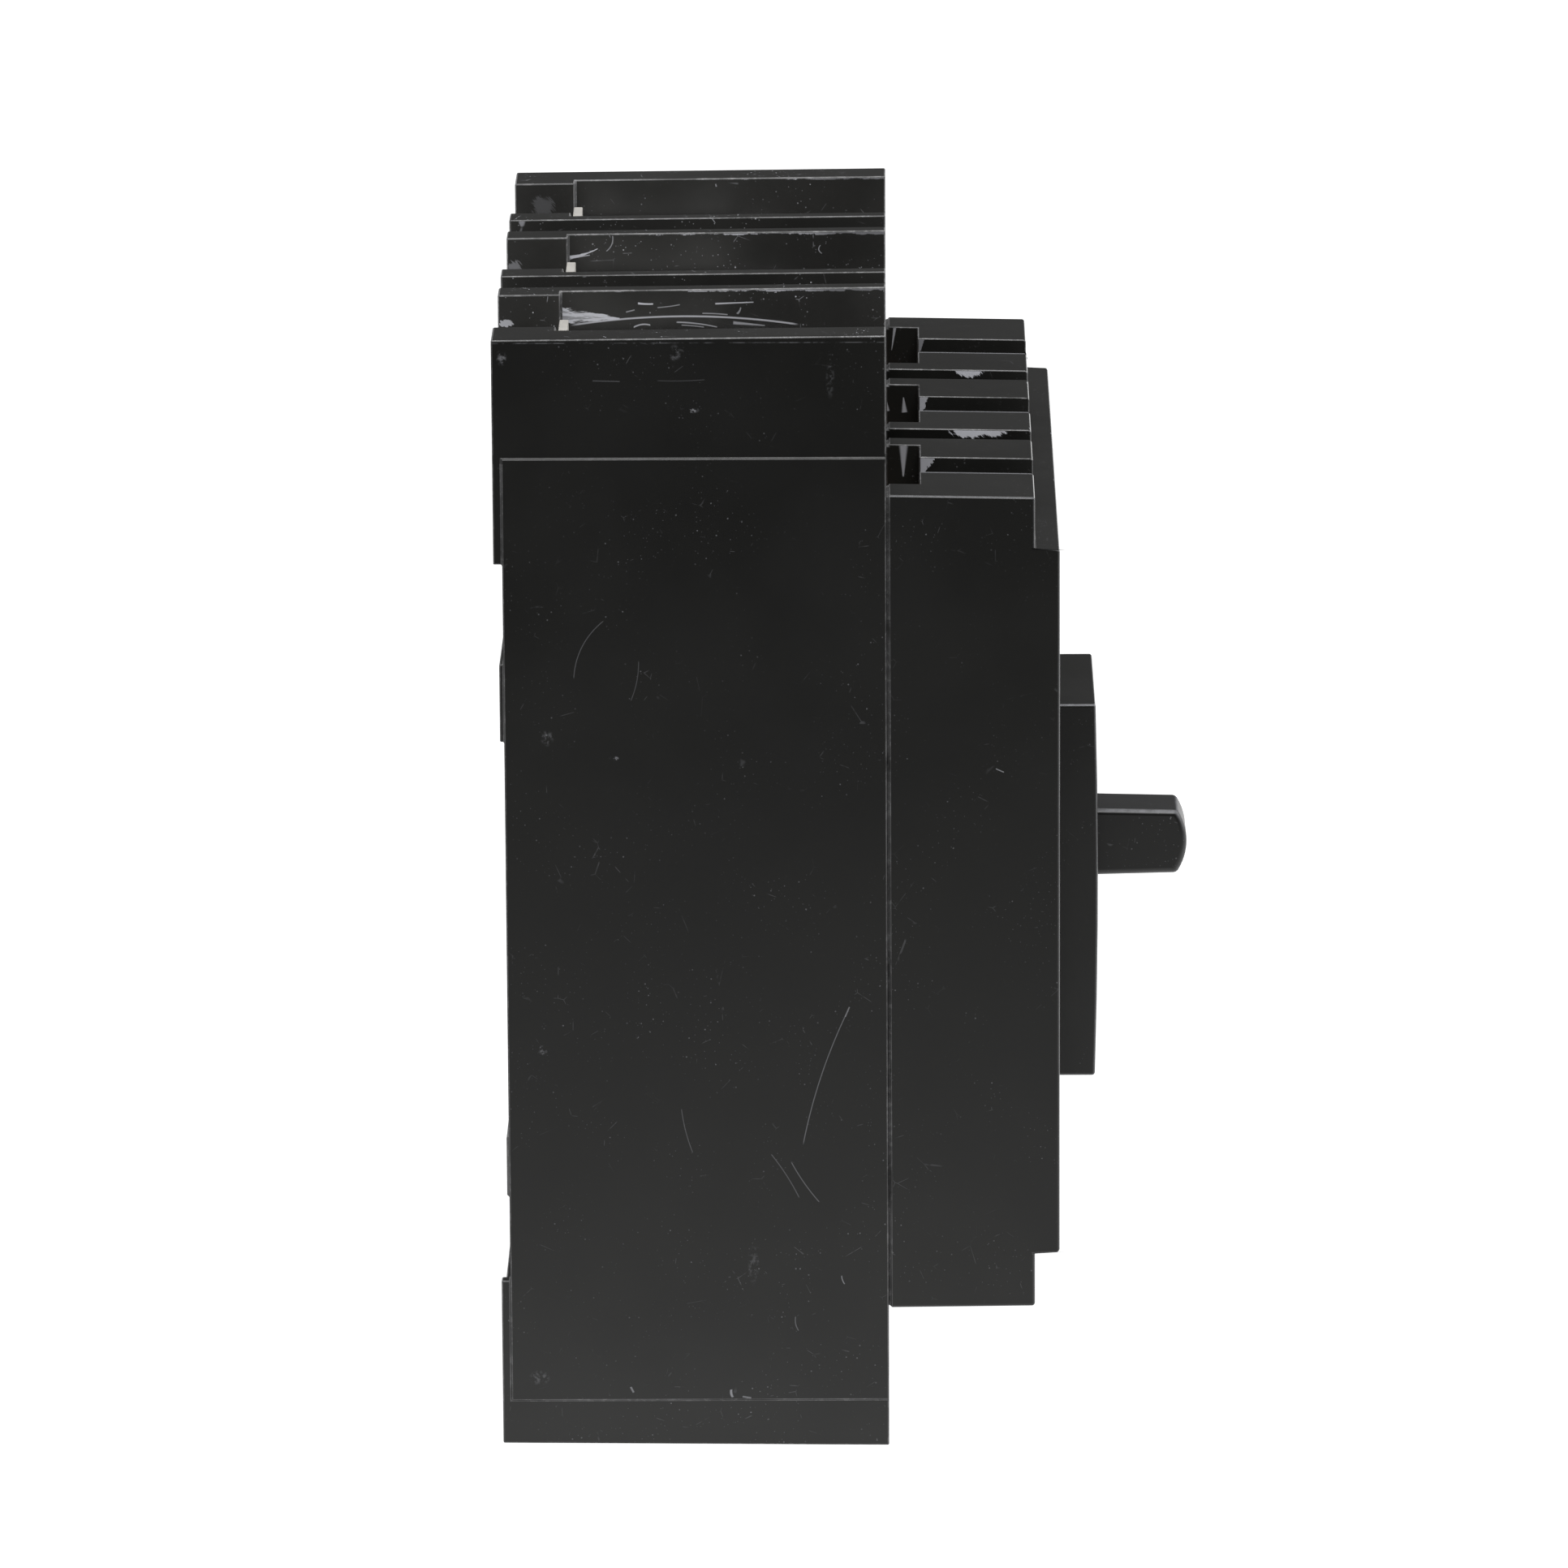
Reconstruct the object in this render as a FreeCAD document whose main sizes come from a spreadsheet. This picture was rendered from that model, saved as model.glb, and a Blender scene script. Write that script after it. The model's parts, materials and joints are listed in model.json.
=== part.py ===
import FreeCAD, Part
import os
import re

import Sketcher

# Three-pole molded case breaker, in millimetres.
# X runs across the poles, the front faces -Y, the mounting plane is Y = 0 and +Z points to the line end.
# The origin is the middle of the mounting plane. The handle stands in its middle, tripped, position.

Vector = FreeCAD.Vector
Rotation = FreeCAD.Rotation
Placement = FreeCAD.Placement

POLES = (("left", -1), ("centre", 0), ("right", 1))
SIDES = (("left", -1), ("right", 1))

# Driving dimensions: alias, value, meaning.
SIZES = (
    ("width", 114.3, "overall width across three poles"),
    ("height", 152.4, "overall height, line end to load end"),
    ("pole_pitch", 38.1, "centre to centre of the poles"),
    ("past", 1.0, "how far a cutting shape runs past a face"),
    ("overlap", 2.0, "how deep joined shapes run into each other"),
    # base
    ("base_depth", 51.9, "mounting plane to the seam with the cover"),
    ("end_draft", 0.45, "how much shorter the back is than the front at each end"),
    ("side_step", 0.3, "how far the middle of the side stands proud of its ends"),
    ("step_top", 59.8, "top of the proud part of the side"),
    ("step_bottom", 69.7, "bottom of the proud part of the side, below the middle"),
    ("pad_end_top", 45.5, "lower end of the top mounting pad"),
    ("pad_end_bottom", 53.0, "upper end of the bottom mounting pad, below the middle"),
    ("recess", 1.2, "depth of the back between the mounting pads"),
    ("heel_rim", 2.3, "width of the bottom pad's rim along the sides"),
    ("heel_start", 58.0, "upper end of the bottom pad between its rims, below the middle"),
    ("back_rib_inset", 1.0, "inset of the back's cross ribs from the sides"),
    ("back_rib_top", 26.5, "height of the upper cross rib of the back"),
    ("back_rib_top_half", 5.3, "half the height of the upper cross rib"),
    ("back_rib_bottom", -37.3, "height of the lower cross rib of the back"),
    ("back_rib_bottom_half", 4.1, "half the height of the lower cross rib"),
    ("back_rib_top_gap", 0.6, "how far the upper cross rib stays behind the mounting plane"),
    ("back_rib_bottom_gap", 0.85, "how far the lower cross rib stays behind the mounting plane"),
    ("back_wall", 8.4, "thickness of the back wall inside"),
    ("bay_width", 25.4, "width of a terminal bay"),
    ("line_bay_floor", 46.0, "inner end of the line bays"),
    ("load_bay_floor", 47.0, "inner end of the load bays, below the middle"),
    ("chamber_width", 32.1, "width of a pole chamber"),
    ("chamber_top", 43.0, "top of the pole chambers"),
    ("chamber_bottom", 44.0, "bottom of the pole chambers, below the middle"),
    ("notch_width", 20.7, "width of the notch in the back wall of a bay"),
    ("notch_start", 66.0, "inner end of that notch"),
    ("groove_pitch", 38.1, "centre to centre of the two barrier grooves"),
    ("groove_width", 7.5, "width of a barrier groove in the base"),
    ("groove_floor", 4.3, "thickness of the back under a barrier groove"),
    ("groove_start", 52.0, "inner end of the barrier grooves"),
    ("groove_mouth", 3.0, "length of the open notch at the end of a groove"),
    ("mount_height", 128.0, "vertical distance between mounting holes"),
    ("mount_radius", 2.6, "radius of a mounting hole"),
    ("vent_start", 36.0, "depth where the arc vent of the end wall starts"),
    ("vent_width", 23.8, "width of an arc vent"),
    # cover
    ("cover_half", 57.0, "half the width of the cover"),
    ("seam_step", 0.25, "inset of the cover along the seam"),
    ("seam_gap", 0.35, "depth of that inset"),
    ("cover_top", 54.8, "top of the cover at the seam"),
    ("cover_bottom", 56.9, "bottom of the cover at the seam, below the middle"),
    ("cover_draft", 0.35, "taper of the cover ends"),
    ("cover_front", 71.5, "depth of the lower front faces"),
    ("raised_front", 74.8, "depth of the raised front face"),
    ("raised_top", 47.5, "top of the raised part"),
    ("raised_bottom", 49.4, "bottom of the raised part, below the middle"),
    ("raised_draft", 0.2, "taper of the ends of the raised part"),
    ("cover_wall", 3.0, "wall of the cover"),
    ("cover_cavity_top", 44.0, "top of the hollow of the cover"),
    ("cover_cavity_bottom", 46.0, "bottom of the hollow of the cover, below the middle"),
    ("vent_front", 56.35, "depth where the vent mouths of the cover end"),
    ("driver_slot", 8.9, "width of a screwdriver slot in the cover's end"),
    ("driver_slot_depth", 6.5, "how far a screwdriver slot goes in"),
    ("cover_groove", 5.9, "width of a barrier groove in the cover"),
    ("cover_groove_depth", 5.0, "how far a barrier groove goes into the cover's end"),
    ("edge_round", 0.45, "rounding of the cover's outer edges"),
    ("escutcheon_half", 14.83, "half the width of the escutcheon"),
    ("escutcheon_top", 16.0, "top of the escutcheon"),
    ("escutcheon_bottom", 36.45, "bottom of the escutcheon, below the middle"),
    ("escutcheon_front", 80.65, "depth of the crown of the escutcheon"),
    ("escutcheon_crown", 928.0, "radius of the crowned front"),
    ("crown_height", -9.4, "height of the crown's highest line"),
    ("crown_sag", 0.35, "how far the crown falls off towards its ends"),
    ("slot_half", 5.15, "half the width of the handle slot"),
    ("slot_top", 10.9, "top of the handle slot"),
    ("slot_bottom", 22.9, "bottom of the handle slot, below the middle"),
    ("hollow_half", 11.83, "half the width of the hollow behind the escutcheon"),
    ("label_left", -52.8, "left edge of the rating label"),
    ("label_right", -24.2, "right edge of the rating label"),
    ("label_bottom", -36.8, "lower edge of the rating label"),
    ("label_top", 2.8, "upper edge of the rating label"),
    ("label_thick", 0.3, "thickness of the rating label"),
    ("label_gap", 0.2, "gap around the rating label in its recess"),
    # cover screws
    ("cover_screw_top", 34.0, "height of the upper cover screws"),
    ("cover_screw_bottom", -42.0, "height of the lower cover screws"),
    ("boss_radius", 4.4, "radius of a screw boss"),
    ("cover_screw_radius", 1.9, "radius of a cover screw's shank"),
    ("cover_screw_head", 3.2, "radius of a cover screw's head"),
    ("counterbore", 3.5, "radius of the hole over a cover screw's head"),
    ("counterbore_floor", 62.0, "depth of the seat of a cover screw's head"),
    ("cover_screw_end", 38.0, "depth of the end of a cover screw"),
    ("screw_gap", 0.2, "clearance around a cover screw's shank"),
    ("head_height", 2.4, "height of a slotted screw head"),
    ("slot_depth", 1.2, "depth of a screw head's slot"),
    ("slot_width", 1.0, "width of a screw head's slot"),
    # handle
    ("handle_pivot_y", -46.0, "depth of the handle's pivot"),
    ("handle_pivot_z", -6.0, "height of the handle's pivot"),
    ("handle_half", 4.73, "half the width of the handle"),
    ("handle_root", 5.05, "half the thickness of the handle at the slot"),
    ("handle_end", 4.5, "half the thickness of the handle near its tip"),
    ("handle_tip", 93.0, "depth of the handle's tip"),
    ("blade_start", 67.5, "depth where the blade starts"),
    ("blade_end", 91.5, "depth where the blade's taper ends"),
    ("tip_start", 86.0, "depth where the curved tip starts"),
    ("foot_half", 7.0, "half the width and height of the handle's foot"),
    ("foot_front", 75.5, "depth of the front of the handle's foot"),
    ("tip_radius", 8.0, "radius of the handle's curved tip"),
    ("handle_round", 0.9, "rounding of the handle's edges"),
    ("shield_outer", 30.6, "outer radius of the dust shield"),
    ("shield_inner", 28.8, "inner radius of the dust shield"),
    ("shield_half", 11.0, "half the width of the dust shield"),
    ("sector_reach", 35.0, "how far the shield's wedge reaches from the pivot"),
    ("sector_half", 41.5, "half the height of the shield's wedge at its reach"),
    ("yoke_bridge", 66.0, "depth of the yoke's bridge"),
    ("yoke_steel", 1.5, "thickness of the yoke"),
    ("yoke_inner", 12.0, "half the space between the yoke's legs"),
    ("yoke_heel", 4.0, "half the height of a yoke leg at the pivot"),
    ("bridge_half", 6.0, "half the height of the yoke's bridge"),
    ("pin_radius", 1.5, "radius of the pivot pins"),
    ("link_pin_radius", 1.2, "radius of the toggle's pins"),
    ("running_gap", 0.05, "radial clearance of a running fit"),
    # mechanism
    ("frame_inner", 10.0, "half the space between the side frames"),
    ("frame_outer", 11.5, "half the width over the side frames"),
    ("frame_top", 13.0, "top of the side frames"),
    ("frame_bottom", -21.0, "bottom of the side frames"),
    ("frame_front", 57.0, "depth of the front of the side frames"),
    ("bar_y", -28.0, "depth of the cross bar's axis"),
    ("bar_z", -8.0, "height of the cross bar's axis"),
    ("bar_radius", 4.5, "radius of the cross bar"),
    ("bar_half", 53.4, "half the length of the cross bar and of the trip bar"),
    ("rest_open", 17.0, "how far the contacts stand open at rest, in degrees"),
    ("arm_half", 3.5, "half the width of a contact arm"),
    ("arm_thick", 1.6, "half the thickness of a contact arm"),
    ("tip_thick", 1.6, "thickness of a contact tip"),
    ("tip_half", 3.0, "half the width of a moving contact tip"),
    ("fixed_seat", 15.0, "depth of the face that carries a fixed tip"),
    ("cradle_y", -50.0, "depth of the cradle's pivot"),
    ("cradle_z", 9.0, "height of the cradle's pivot"),
    ("link_top_y", -54.0, "depth of the upper links' pin on the cradle"),
    ("link_top_z", -2.0, "height of the upper links' pin on the cradle"),
    ("knee_y", -45.715, "depth of the toggle's knee pin"),
    ("knee_z", -10.68, "height of the toggle's knee pin"),
    ("carrier_pin_y", -37.033, "depth of the lower links' pin on the cross bar"),
    ("carrier_pin_z", -2.396, "height of the lower links' pin on the cross bar"),
    ("knee_slack", 3.6, "radius of the wide hole in the lower links around the knee pin"),
    ("link_thick", 1.4, "thickness of the toggle links"),
    ("upper_link_inner", 4.6, "half the space between the upper links"),
    ("lower_link_inner", 2.6, "half the space between the lower links"),
    ("main_spring_x", 7.8, "sideways place of the main springs"),
    # arc chutes
    ("plate_first", 20.0, "height of the lowest arc plate"),
    ("plate_pitch", 3.1, "distance from one arc plate to the next"),
    ("plate_thick", 1.2, "thickness of an arc plate and of a chute wall"),
    ("plate_half", 12.9, "half the width of an arc plate"),
    ("plate_back", 17.0, "depth of the back of the arc plates and chute walls"),
    ("plate_front", 41.5, "depth of the front of the arc plates"),
    ("throat_half", 4.9, "half the width of the arm's way at its blind end"),
    ("throat_mouth", 5.6, "half the width of the arm's way at its mouth"),
    ("throat_end", 31.0, "depth of the blind end of the arm's way"),
    ("chute_front", 48.0, "depth of the front of the chute walls"),
    ("chute_bottom", 16.0, "lower end of the chute walls"),
    ("chute_top", 42.4, "upper end of the chute walls"),
    ("screen_inner", 43.6, "inner face of a vent screen"),
    ("screen_outer", 45.0, "outer face of a vent screen"),
    ("screen_slot_half", 9.0, "half the width of a screen's slots"),
    ("screen_slot", 1.6, "height of a screen's slots"),
    ("screen_pitch", 3.4, "distance from one slot to the next"),
    # trip unit
    ("trip_y", -40.0, "depth of the trip bar's axis"),
    ("trip_z", -33.0, "height of the trip bar's axis"),
    ("trip_radius", 2.5, "radius of the trip bar"),
    ("riser_bottom", -27.5, "lower face of the riser that carries the trip unit"),
    ("riser_top", -26.0, "upper face of the riser"),
    ("riser_front", 27.0, "depth of the front of the riser"),
    ("bimetal_half", 4.0, "half the width of a bimetal"),
    ("bimetal_thick", 1.2, "thickness of a bimetal"),
    ("bimetal_front", 47.5, "depth of the free end of a bimetal"),
    ("trip_unit_back", 12.0, "depth of the back of the bimetals and magnet yokes"),
    ("calibration_y", -45.4, "depth of the calibration screws"),
    ("calibration_radius", 1.0, "radius of a calibration screw"),
    ("magnet_half", 8.0, "half the width of a magnet yoke and its armature"),
    ("magnet_thick", 1.5, "thickness of a magnet yoke and its armature"),
    ("magnet_front", 22.0, "depth of the front of a magnet yoke"),
    ("magnet_bottom", -33.9, "lower end of a magnet yoke's legs"),
    ("armature_front", 24.0, "depth of the front of an armature"),
    ("tongue_front", 34.6, "depth of the end of an armature's tongue"),
    ("tongue_half", 2.0, "half the width of an armature's tongue"),
    ("knuckle_radius", 1.1, "radius of the rolled edge that an armature turns on"),
    ("lever_half", 2.5, "half the width of a trip lever"),
    ("lever_bottom", -32.9, "lower face of the trip levers"),
    ("lever_top", -31.3, "upper face of the trip levers"),
    ("latch_inner", 5.6, "half the space between the latch's legs"),
    ("latch_outer", 7.0, "half the width of the latch"),
    ("latch_front", 57.2, "depth of the front of the latch"),
    ("latch_back", 55.4, "depth of the back of the latch's hook"),
    ("armature_pivot_y", -11.5, "depth of an armature's pivot"),
    ("armature_pivot_z", -36.0, "height of an armature's pivot and of its middle"),
    ("button_x", 29.0, "sideways place of the trip button"),
    ("button_z", -38.0, "height of the trip button"),
    ("button_radius", 3.0, "radius of the trip button's head"),
    ("button_flange", 4.2, "radius of the trip button's flange"),
    ("button_stem", 1.6, "radius of the trip button's stem"),
    ("button_stem_end", 42.1, "depth of the end of the trip button's stem"),
    ("guide_front", 60.0, "depth of the front of the button's guide"),
    ("guide_thick", 2.0, "thickness of the button's guide"),
    ("guide_half", 4.0, "half the height of the button's guide"),
    ("button_gap", 0.3, "clearance around the button's head and stem"),
    # conductors and lugs
    ("strap_thick", 1.2, "thickness of the conductor straps"),
    ("strap_half", 6.0, "half the width of the conductor straps"),
    ("strap_gap", 0.05, "clearance of a strap in its slot"),
    ("loop_bottom", 12.0, "lower end of a line strap's loop"),
    ("loop_top", 28.0, "upper end of a line strap's loop"),
    ("fixed_tip_low", 19.0, "lower end of a fixed contact tip"),
    ("fixed_tip_high", 25.5, "upper end of a fixed contact tip"),
    ("fixed_tip_half", 3.4, "half the width of a fixed contact tip"),
    ("strap_end", 73.3, "how far the straps reach towards each end"),
    ("lug_half", 9.5, "half the width of a lug"),
    ("lug_inner", 56.0, "inner end of a lug's block"),
    ("lug_outer", 70.2, "outer end of a lug's block"),
    ("lug_front", 30.0, "depth of a lug's front face"),
    ("wire_radius", 5.75, "radius of a lug's wire hole"),
    ("wire_y", -19.6, "depth of a wire hole's axis"),
    ("tang_inner", 47.6, "inner end of a lug's tang"),
    ("tang_front", 11.8, "depth of the tang's front face"),
    ("binding_radius", 3.5, "radius of a wire binding screw"),
    ("binding_height", 63.0, "distance of the binding screws from the middle"),
    ("tang_screw_height", 51.5, "distance of the tang screws from the middle"),
    ("tang_screw_radius", 2.0, "radius of a tang screw's shank"),
    ("tang_head_radius", 3.6, "radius of a tang screw's head"),
    ("binding_front", 38.0, "depth of the front of a binding screw"),
    ("binding_end", 25.8, "depth of the end of a binding screw"),
    ("binding_slot_depth", 1.6, "depth of a binding screw's slot"),
    ("binding_slot_width", 1.4, "width of a binding screw's slot"),
)

NEAR = 0.1                          # how close an edge lies to a face to count as on it
UPPER_LINK_HALVES = (3.0, 3.0)      # half widths of an upper link at its two ends
LOWER_LINK_HALVES = (2.4, 4.8)      # half widths of a lower link, wide around its slack hole
MAIN_SPRING = (1.1, 0.3, 14)        # coil radius, wire radius and turns
BUTTON_SPRING = (2.6, 0.3, 6)       # coil radius, wire radius and turns
ARC_PLATES = 9                      # plates in an arc chute
SCREEN_SLOTS = 4                    # slots in a vent screen

doc = FreeCAD.newDocument("breaker")
sheet = doc.addObject("Spreadsheet::Sheet", "sizes")
nodes = []


def fill_sheet():
    """Write every driving dimension into the sheet under its alias."""
    for row, (alias, value, meaning) in enumerate(SIZES, start=1):
        sheet.set(f"A{row}", meaning)
        sheet.set(f"B{row}", str(value))
        sheet.setAlias(f"B{row}", alias)
    doc.recompute()


def bound(formula):
    """Turn a formula of size names into an expression that reads the sheet."""
    return re.sub(r"[a-z][a-z_]*", r"sizes.\g<0>", str(formula))


def size(alias):
    """One dimension of the sheet, as a number."""
    return getattr(sheet, alias)


def bind_place(feature, place):
    """Bind a feature's position to three formulas."""
    for letter, formula in zip("xyz", place):
        feature.setExpression(f"Placement.Base.{letter}", bound(formula))


def block(name, x, y, z):
    """A box between two X, two Y and two Z formulas, the lower of each first."""
    box = doc.addObject("Part::Box", name)
    for side, (low, high) in zip(("Length", "Width", "Height"), (x, y, z)):
        box.setExpression(side, bound(f"({high}) - ({low})"))
    bind_place(box, (x[0], y[0], z[0]))
    return box


def rod(name, axis, centre, radius, span):
    """A cylinder along x, y or z; centre holds the other two coordinates in order."""
    cylinder = doc.addObject("Part::Cylinder", name)
    turns = {"x": (Vector(0, 1, 0), 90), "y": (Vector(1, 0, 0), -90), "z": (Vector(0, 0, 1), 0)}
    cylinder.Placement = Placement(Vector(), Rotation(*turns[axis]))
    cylinder.setExpression("Radius", bound(radius))
    cylinder.setExpression("Height", bound(f"({span[1]}) - ({span[0]})"))
    place = list(centre)
    place.insert("xyz".index(axis), span[0])
    bind_place(cylinder, place)
    return cylinder


def fuse(name, parts):
    """Join features into one solid, or gather tools that don't touch."""
    joined = doc.addObject("Part::MultiFuse", name)
    joined.Shapes = parts
    return joined


def cut(name, base, tools):
    """Take a list of features away from a base."""
    result = doc.addObject("Part::Cut", name)
    result.Base = base
    result.Tool = tools[0] if len(tools) == 1 else fuse(name + "_tools", tools)
    return result


def group(name, parts):
    """Keep separate solids together as one sub-part."""
    compound = doc.addObject("Part::Compound", name)
    compound.Links = parts
    return compound


def rounded(name, source, radius, chosen):
    """Fillet the edges that the test picks."""
    doc.recompute()
    fillet = doc.addObject("Part::Fillet", name)
    fillet.Base = source
    picked = [number for number, edge in enumerate(source.Shape.Edges, start=1) if chosen(edge.BoundBox)]
    fillet.Edges = [(number, size(radius), size(radius)) for number in picked]
    return fillet


def pin_point(sketch, line, end, point):
    """Hold one end of a sketch element at two formulas."""
    for kind, formula in zip(("DistanceX", "DistanceY"), point):
        index = sketch.addConstraint(Sketcher.Constraint(kind, -1, 1, line, end, 1.0))
        sketch.setExpression(f"Constraints[{index}]", bound(formula))


def outline(name, plane, points, low, high, holes=()):
    """A body padded from a straight-edged outline, with round holes.

    Plane YZ pads towards +X, XZ towards the front and XY towards +Z, each between two offsets.
    """
    body = doc.addObject("PartDesign::Body", name)
    sketch = body.newObject("Sketcher::SketchObject", name + "_sketch")
    role = plane + "_Plane"
    support = [feature for feature in body.Origin.OriginFeatures if feature.Role == role][0]
    sketch.AttachmentSupport = [(support, "")]
    sketch.MapMode = "FlatFace"
    sketch.setExpression("AttachmentOffset.Base.z", bound(low))
    count = len(points)
    start = [Rotation(Vector(0, 0, 1), 360 * i / count).multVec(Vector(20, 0, 0)) for i in range(count)]
    for i in range(count):
        sketch.addGeometry(Part.LineSegment(start[i], start[(i + 1) % count]))
    for i in range(count):
        sketch.addConstraint(Sketcher.Constraint("Coincident", i, 2, (i + 1) % count, 1))
    for i, point in enumerate(points):
        pin_point(sketch, i, 1, point)
    for centre_a, centre_b, radius in holes:
        circle = sketch.addGeometry(Part.Circle(Vector(), Vector(0, 0, 1), 1.0))
        pin_point(sketch, circle, 3, (centre_a, centre_b))
        index = sketch.addConstraint(Sketcher.Constraint("Radius", circle, 1.0))
        sketch.setExpression(f"Constraints[{index}]", bound(radius))
    pad = body.newObject("PartDesign::Pad", name + "_pad")
    pad.Profile = sketch
    pad.setExpression("Length", bound(f"({high}) - ({low})"))
    return body


def turn_open(feature):
    """Place a feature drawn about the closed cross bar at its half-open rest angle."""
    feature.Placement = Placement(Vector(), Rotation(Vector(1, 0, 0), 10))
    bind_place(feature, ("0", "bar_y", "bar_z"))
    feature.setExpression("Placement.Rotation.Angle", bound("rest_open"))
    return feature


def coil(name, radius, wire, turns, start, end, centre_x):
    """A helical spring between two (y, z) points in a plane of constant X."""
    path = Vector(0, end[0] - start[0], end[1] - start[1])
    helix = Part.makeHelix(path.Length / turns, path.Length, radius)
    ring = Part.Wire([Part.Edge(Part.Circle(Vector(radius, 0, 0), Vector(0, 1, 0), wire))])
    spring = doc.addObject("Part::Feature", name)
    spring.Shape = Part.Wire(helix.Edges).makePipeShell([ring], True, True)
    place = Vector(centre_x, start[0], start[1])
    spring.Placement = Placement(place, Rotation(Vector(0, 0, 1), path))
    return spring


def node(label, feature):
    """Name a finished sub-part."""
    feature.Label = label
    nodes.append((label, feature))


def across(pole, half):
    """The X range of something centred on a pole, from half its width."""
    return f"{pole} * pole_pitch - ({half})", f"{pole} * pole_pitch + ({half})"


def beside(side, inner, outer):
    """The X range of something between two distances left or right of the middle."""
    return (inner, outer) if side > 0 else (f"-({outer})", f"-({inner})")


def along(end, inner, outer):
    """The Z range between two distances towards the line end (1) or the load end (-1)."""
    return (inner, outer) if end > 0 else (f"-({outer})", f"-({inner})")


def base():
    """The moulded base: pole chambers, terminal bays, double ribs with barrier grooves, back pads."""
    half = "height / 2"
    profile = [
        ("0", f"{half} - end_draft"), ("-base_depth", half), ("-base_depth", f"-{half}"),
        ("0", f"-{half} + end_draft"), ("0", "-pad_end_bottom"), ("-recess", "-pad_end_bottom"),
        ("-recess", "pad_end_top"), ("0", "pad_end_top"),
    ]
    ends = outline("base_profile", "YZ", profile, "-width / 2 + side_step", "width / 2 - side_step")
    middle = block("base_middle", ("-width / 2", "width / 2"), ("-base_depth", "-recess"),
                   ("-step_bottom", "step_top"))
    ribs = [
        block(f"{rib}_block", ("-width / 2 + back_rib_inset", "width / 2 - back_rib_inset"),
              ("-recess - overlap", f"-{rib}_gap"), (f"{rib} - {rib}_half", f"{rib} + {rib}_half"))
        for rib in ("back_rib_top", "back_rib_bottom")
    ]
    hollows = [block("heel_recess", ("-width / 2 + heel_rim", "width / 2 - heel_rim"), ("-recess", "past"),
                     ("-heel_start", "-pad_end_bottom + past"))]
    front = "-base_depth - past"
    for name, pole in POLES:
        hollows.append(block(f"chamber_{name}", across(pole, "chamber_width / 2"), (front, "-back_wall"),
                             ("-chamber_bottom", "chamber_top")))
        for end, floor, where in ((1, "line_bay_floor", "line"), (-1, "load_bay_floor", "load")):
            hollows.append(block(f"{where}_bay_{name}", across(pole, "bay_width / 2"), (front, "-back_wall"),
                                 along(end, floor, f"{half} + past")))
            hollows.append(block(f"{where}_notch_{name}", across(pole, "notch_width / 2"),
                                 ("-back_wall - past", "past"), along(end, "notch_start", f"{half} + past")))
            hollows.append(block(f"{where}_strap_slot_{name}", across(pole, "strap_half + strap_gap"),
                                 ("-back_wall - strap_thick - strap_gap", "-back_wall"),
                                 along(end, "chamber_top - past", f"{floor} + past")))
        hollows.append(block(f"vent_{name}", across(pole, "vent_width / 2"), (front, "-vent_start"),
                             ("chamber_top - past", "line_bay_floor + past")))
    for name, side in SIDES:
        middle_x = f"{side} * groove_pitch / 2"
        groove = (f"{middle_x} - groove_width / 2", f"{middle_x} + groove_width / 2")
        for end, where in ((1, "line"), (-1, "load")):
            hollows.append(block(f"{where}_groove_{name}", groove, (front, "-groove_floor"),
                                 along(end, "groove_start", f"{half} + past")))
            hollows.append(block(f"{where}_groove_mouth_{name}", groove, ("-groove_floor - past", "past"),
                                 along(end, f"{half} - groove_mouth", f"{half} + past")))
            hollows.append(rod(f"{where}_mount_hole_{name}", "y", (middle_x, f"{end} * mount_height / 2"),
                               "mount_radius", ("-groove_floor - past", "past")))
        reach = "(pole_pitch - chamber_width) / 2 + past"
        wall = (f"{middle_x} - ({reach})", f"{middle_x} + ({reach})")
        for bar, centre_y, centre_z, radius in (
            ("cross_bar", "bar_y", "bar_z", "bar_radius + running_gap"),
            ("trip_bar", "trip_y", "trip_z", "trip_radius + running_gap"),
        ):
            hollows.append(rod(f"{bar}_seat_{name}", "x", (centre_y, centre_z), radius, wall))
            hollows.append(block(f"{bar}_way_{name}", wall, (front, centre_y),
                                 (f"{centre_z} - ({radius})", f"{centre_z} + ({radius})")))
    shell = cut("base_shell", fuse("base_solid", [ends, middle] + ribs), hollows)
    bosses = []
    pilots = []
    for name, side in SIDES:
        for where, height in (("top", "cover_screw_top"), ("bottom", "cover_screw_bottom")):
            centre = (f"{side} * groove_pitch / 2", height)
            bosses.append(rod(f"base_boss_{where}_{name}", "y", centre, "boss_radius",
                              ("-base_depth", "-back_wall + past")))
            pilots.append(rod(f"base_pilot_{where}_{name}", "y", centre, "cover_screw_radius",
                              (front, "-cover_screw_end")))
    node("base", cut("base", fuse("base_with_bosses", [shell] + bosses), pilots))


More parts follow.
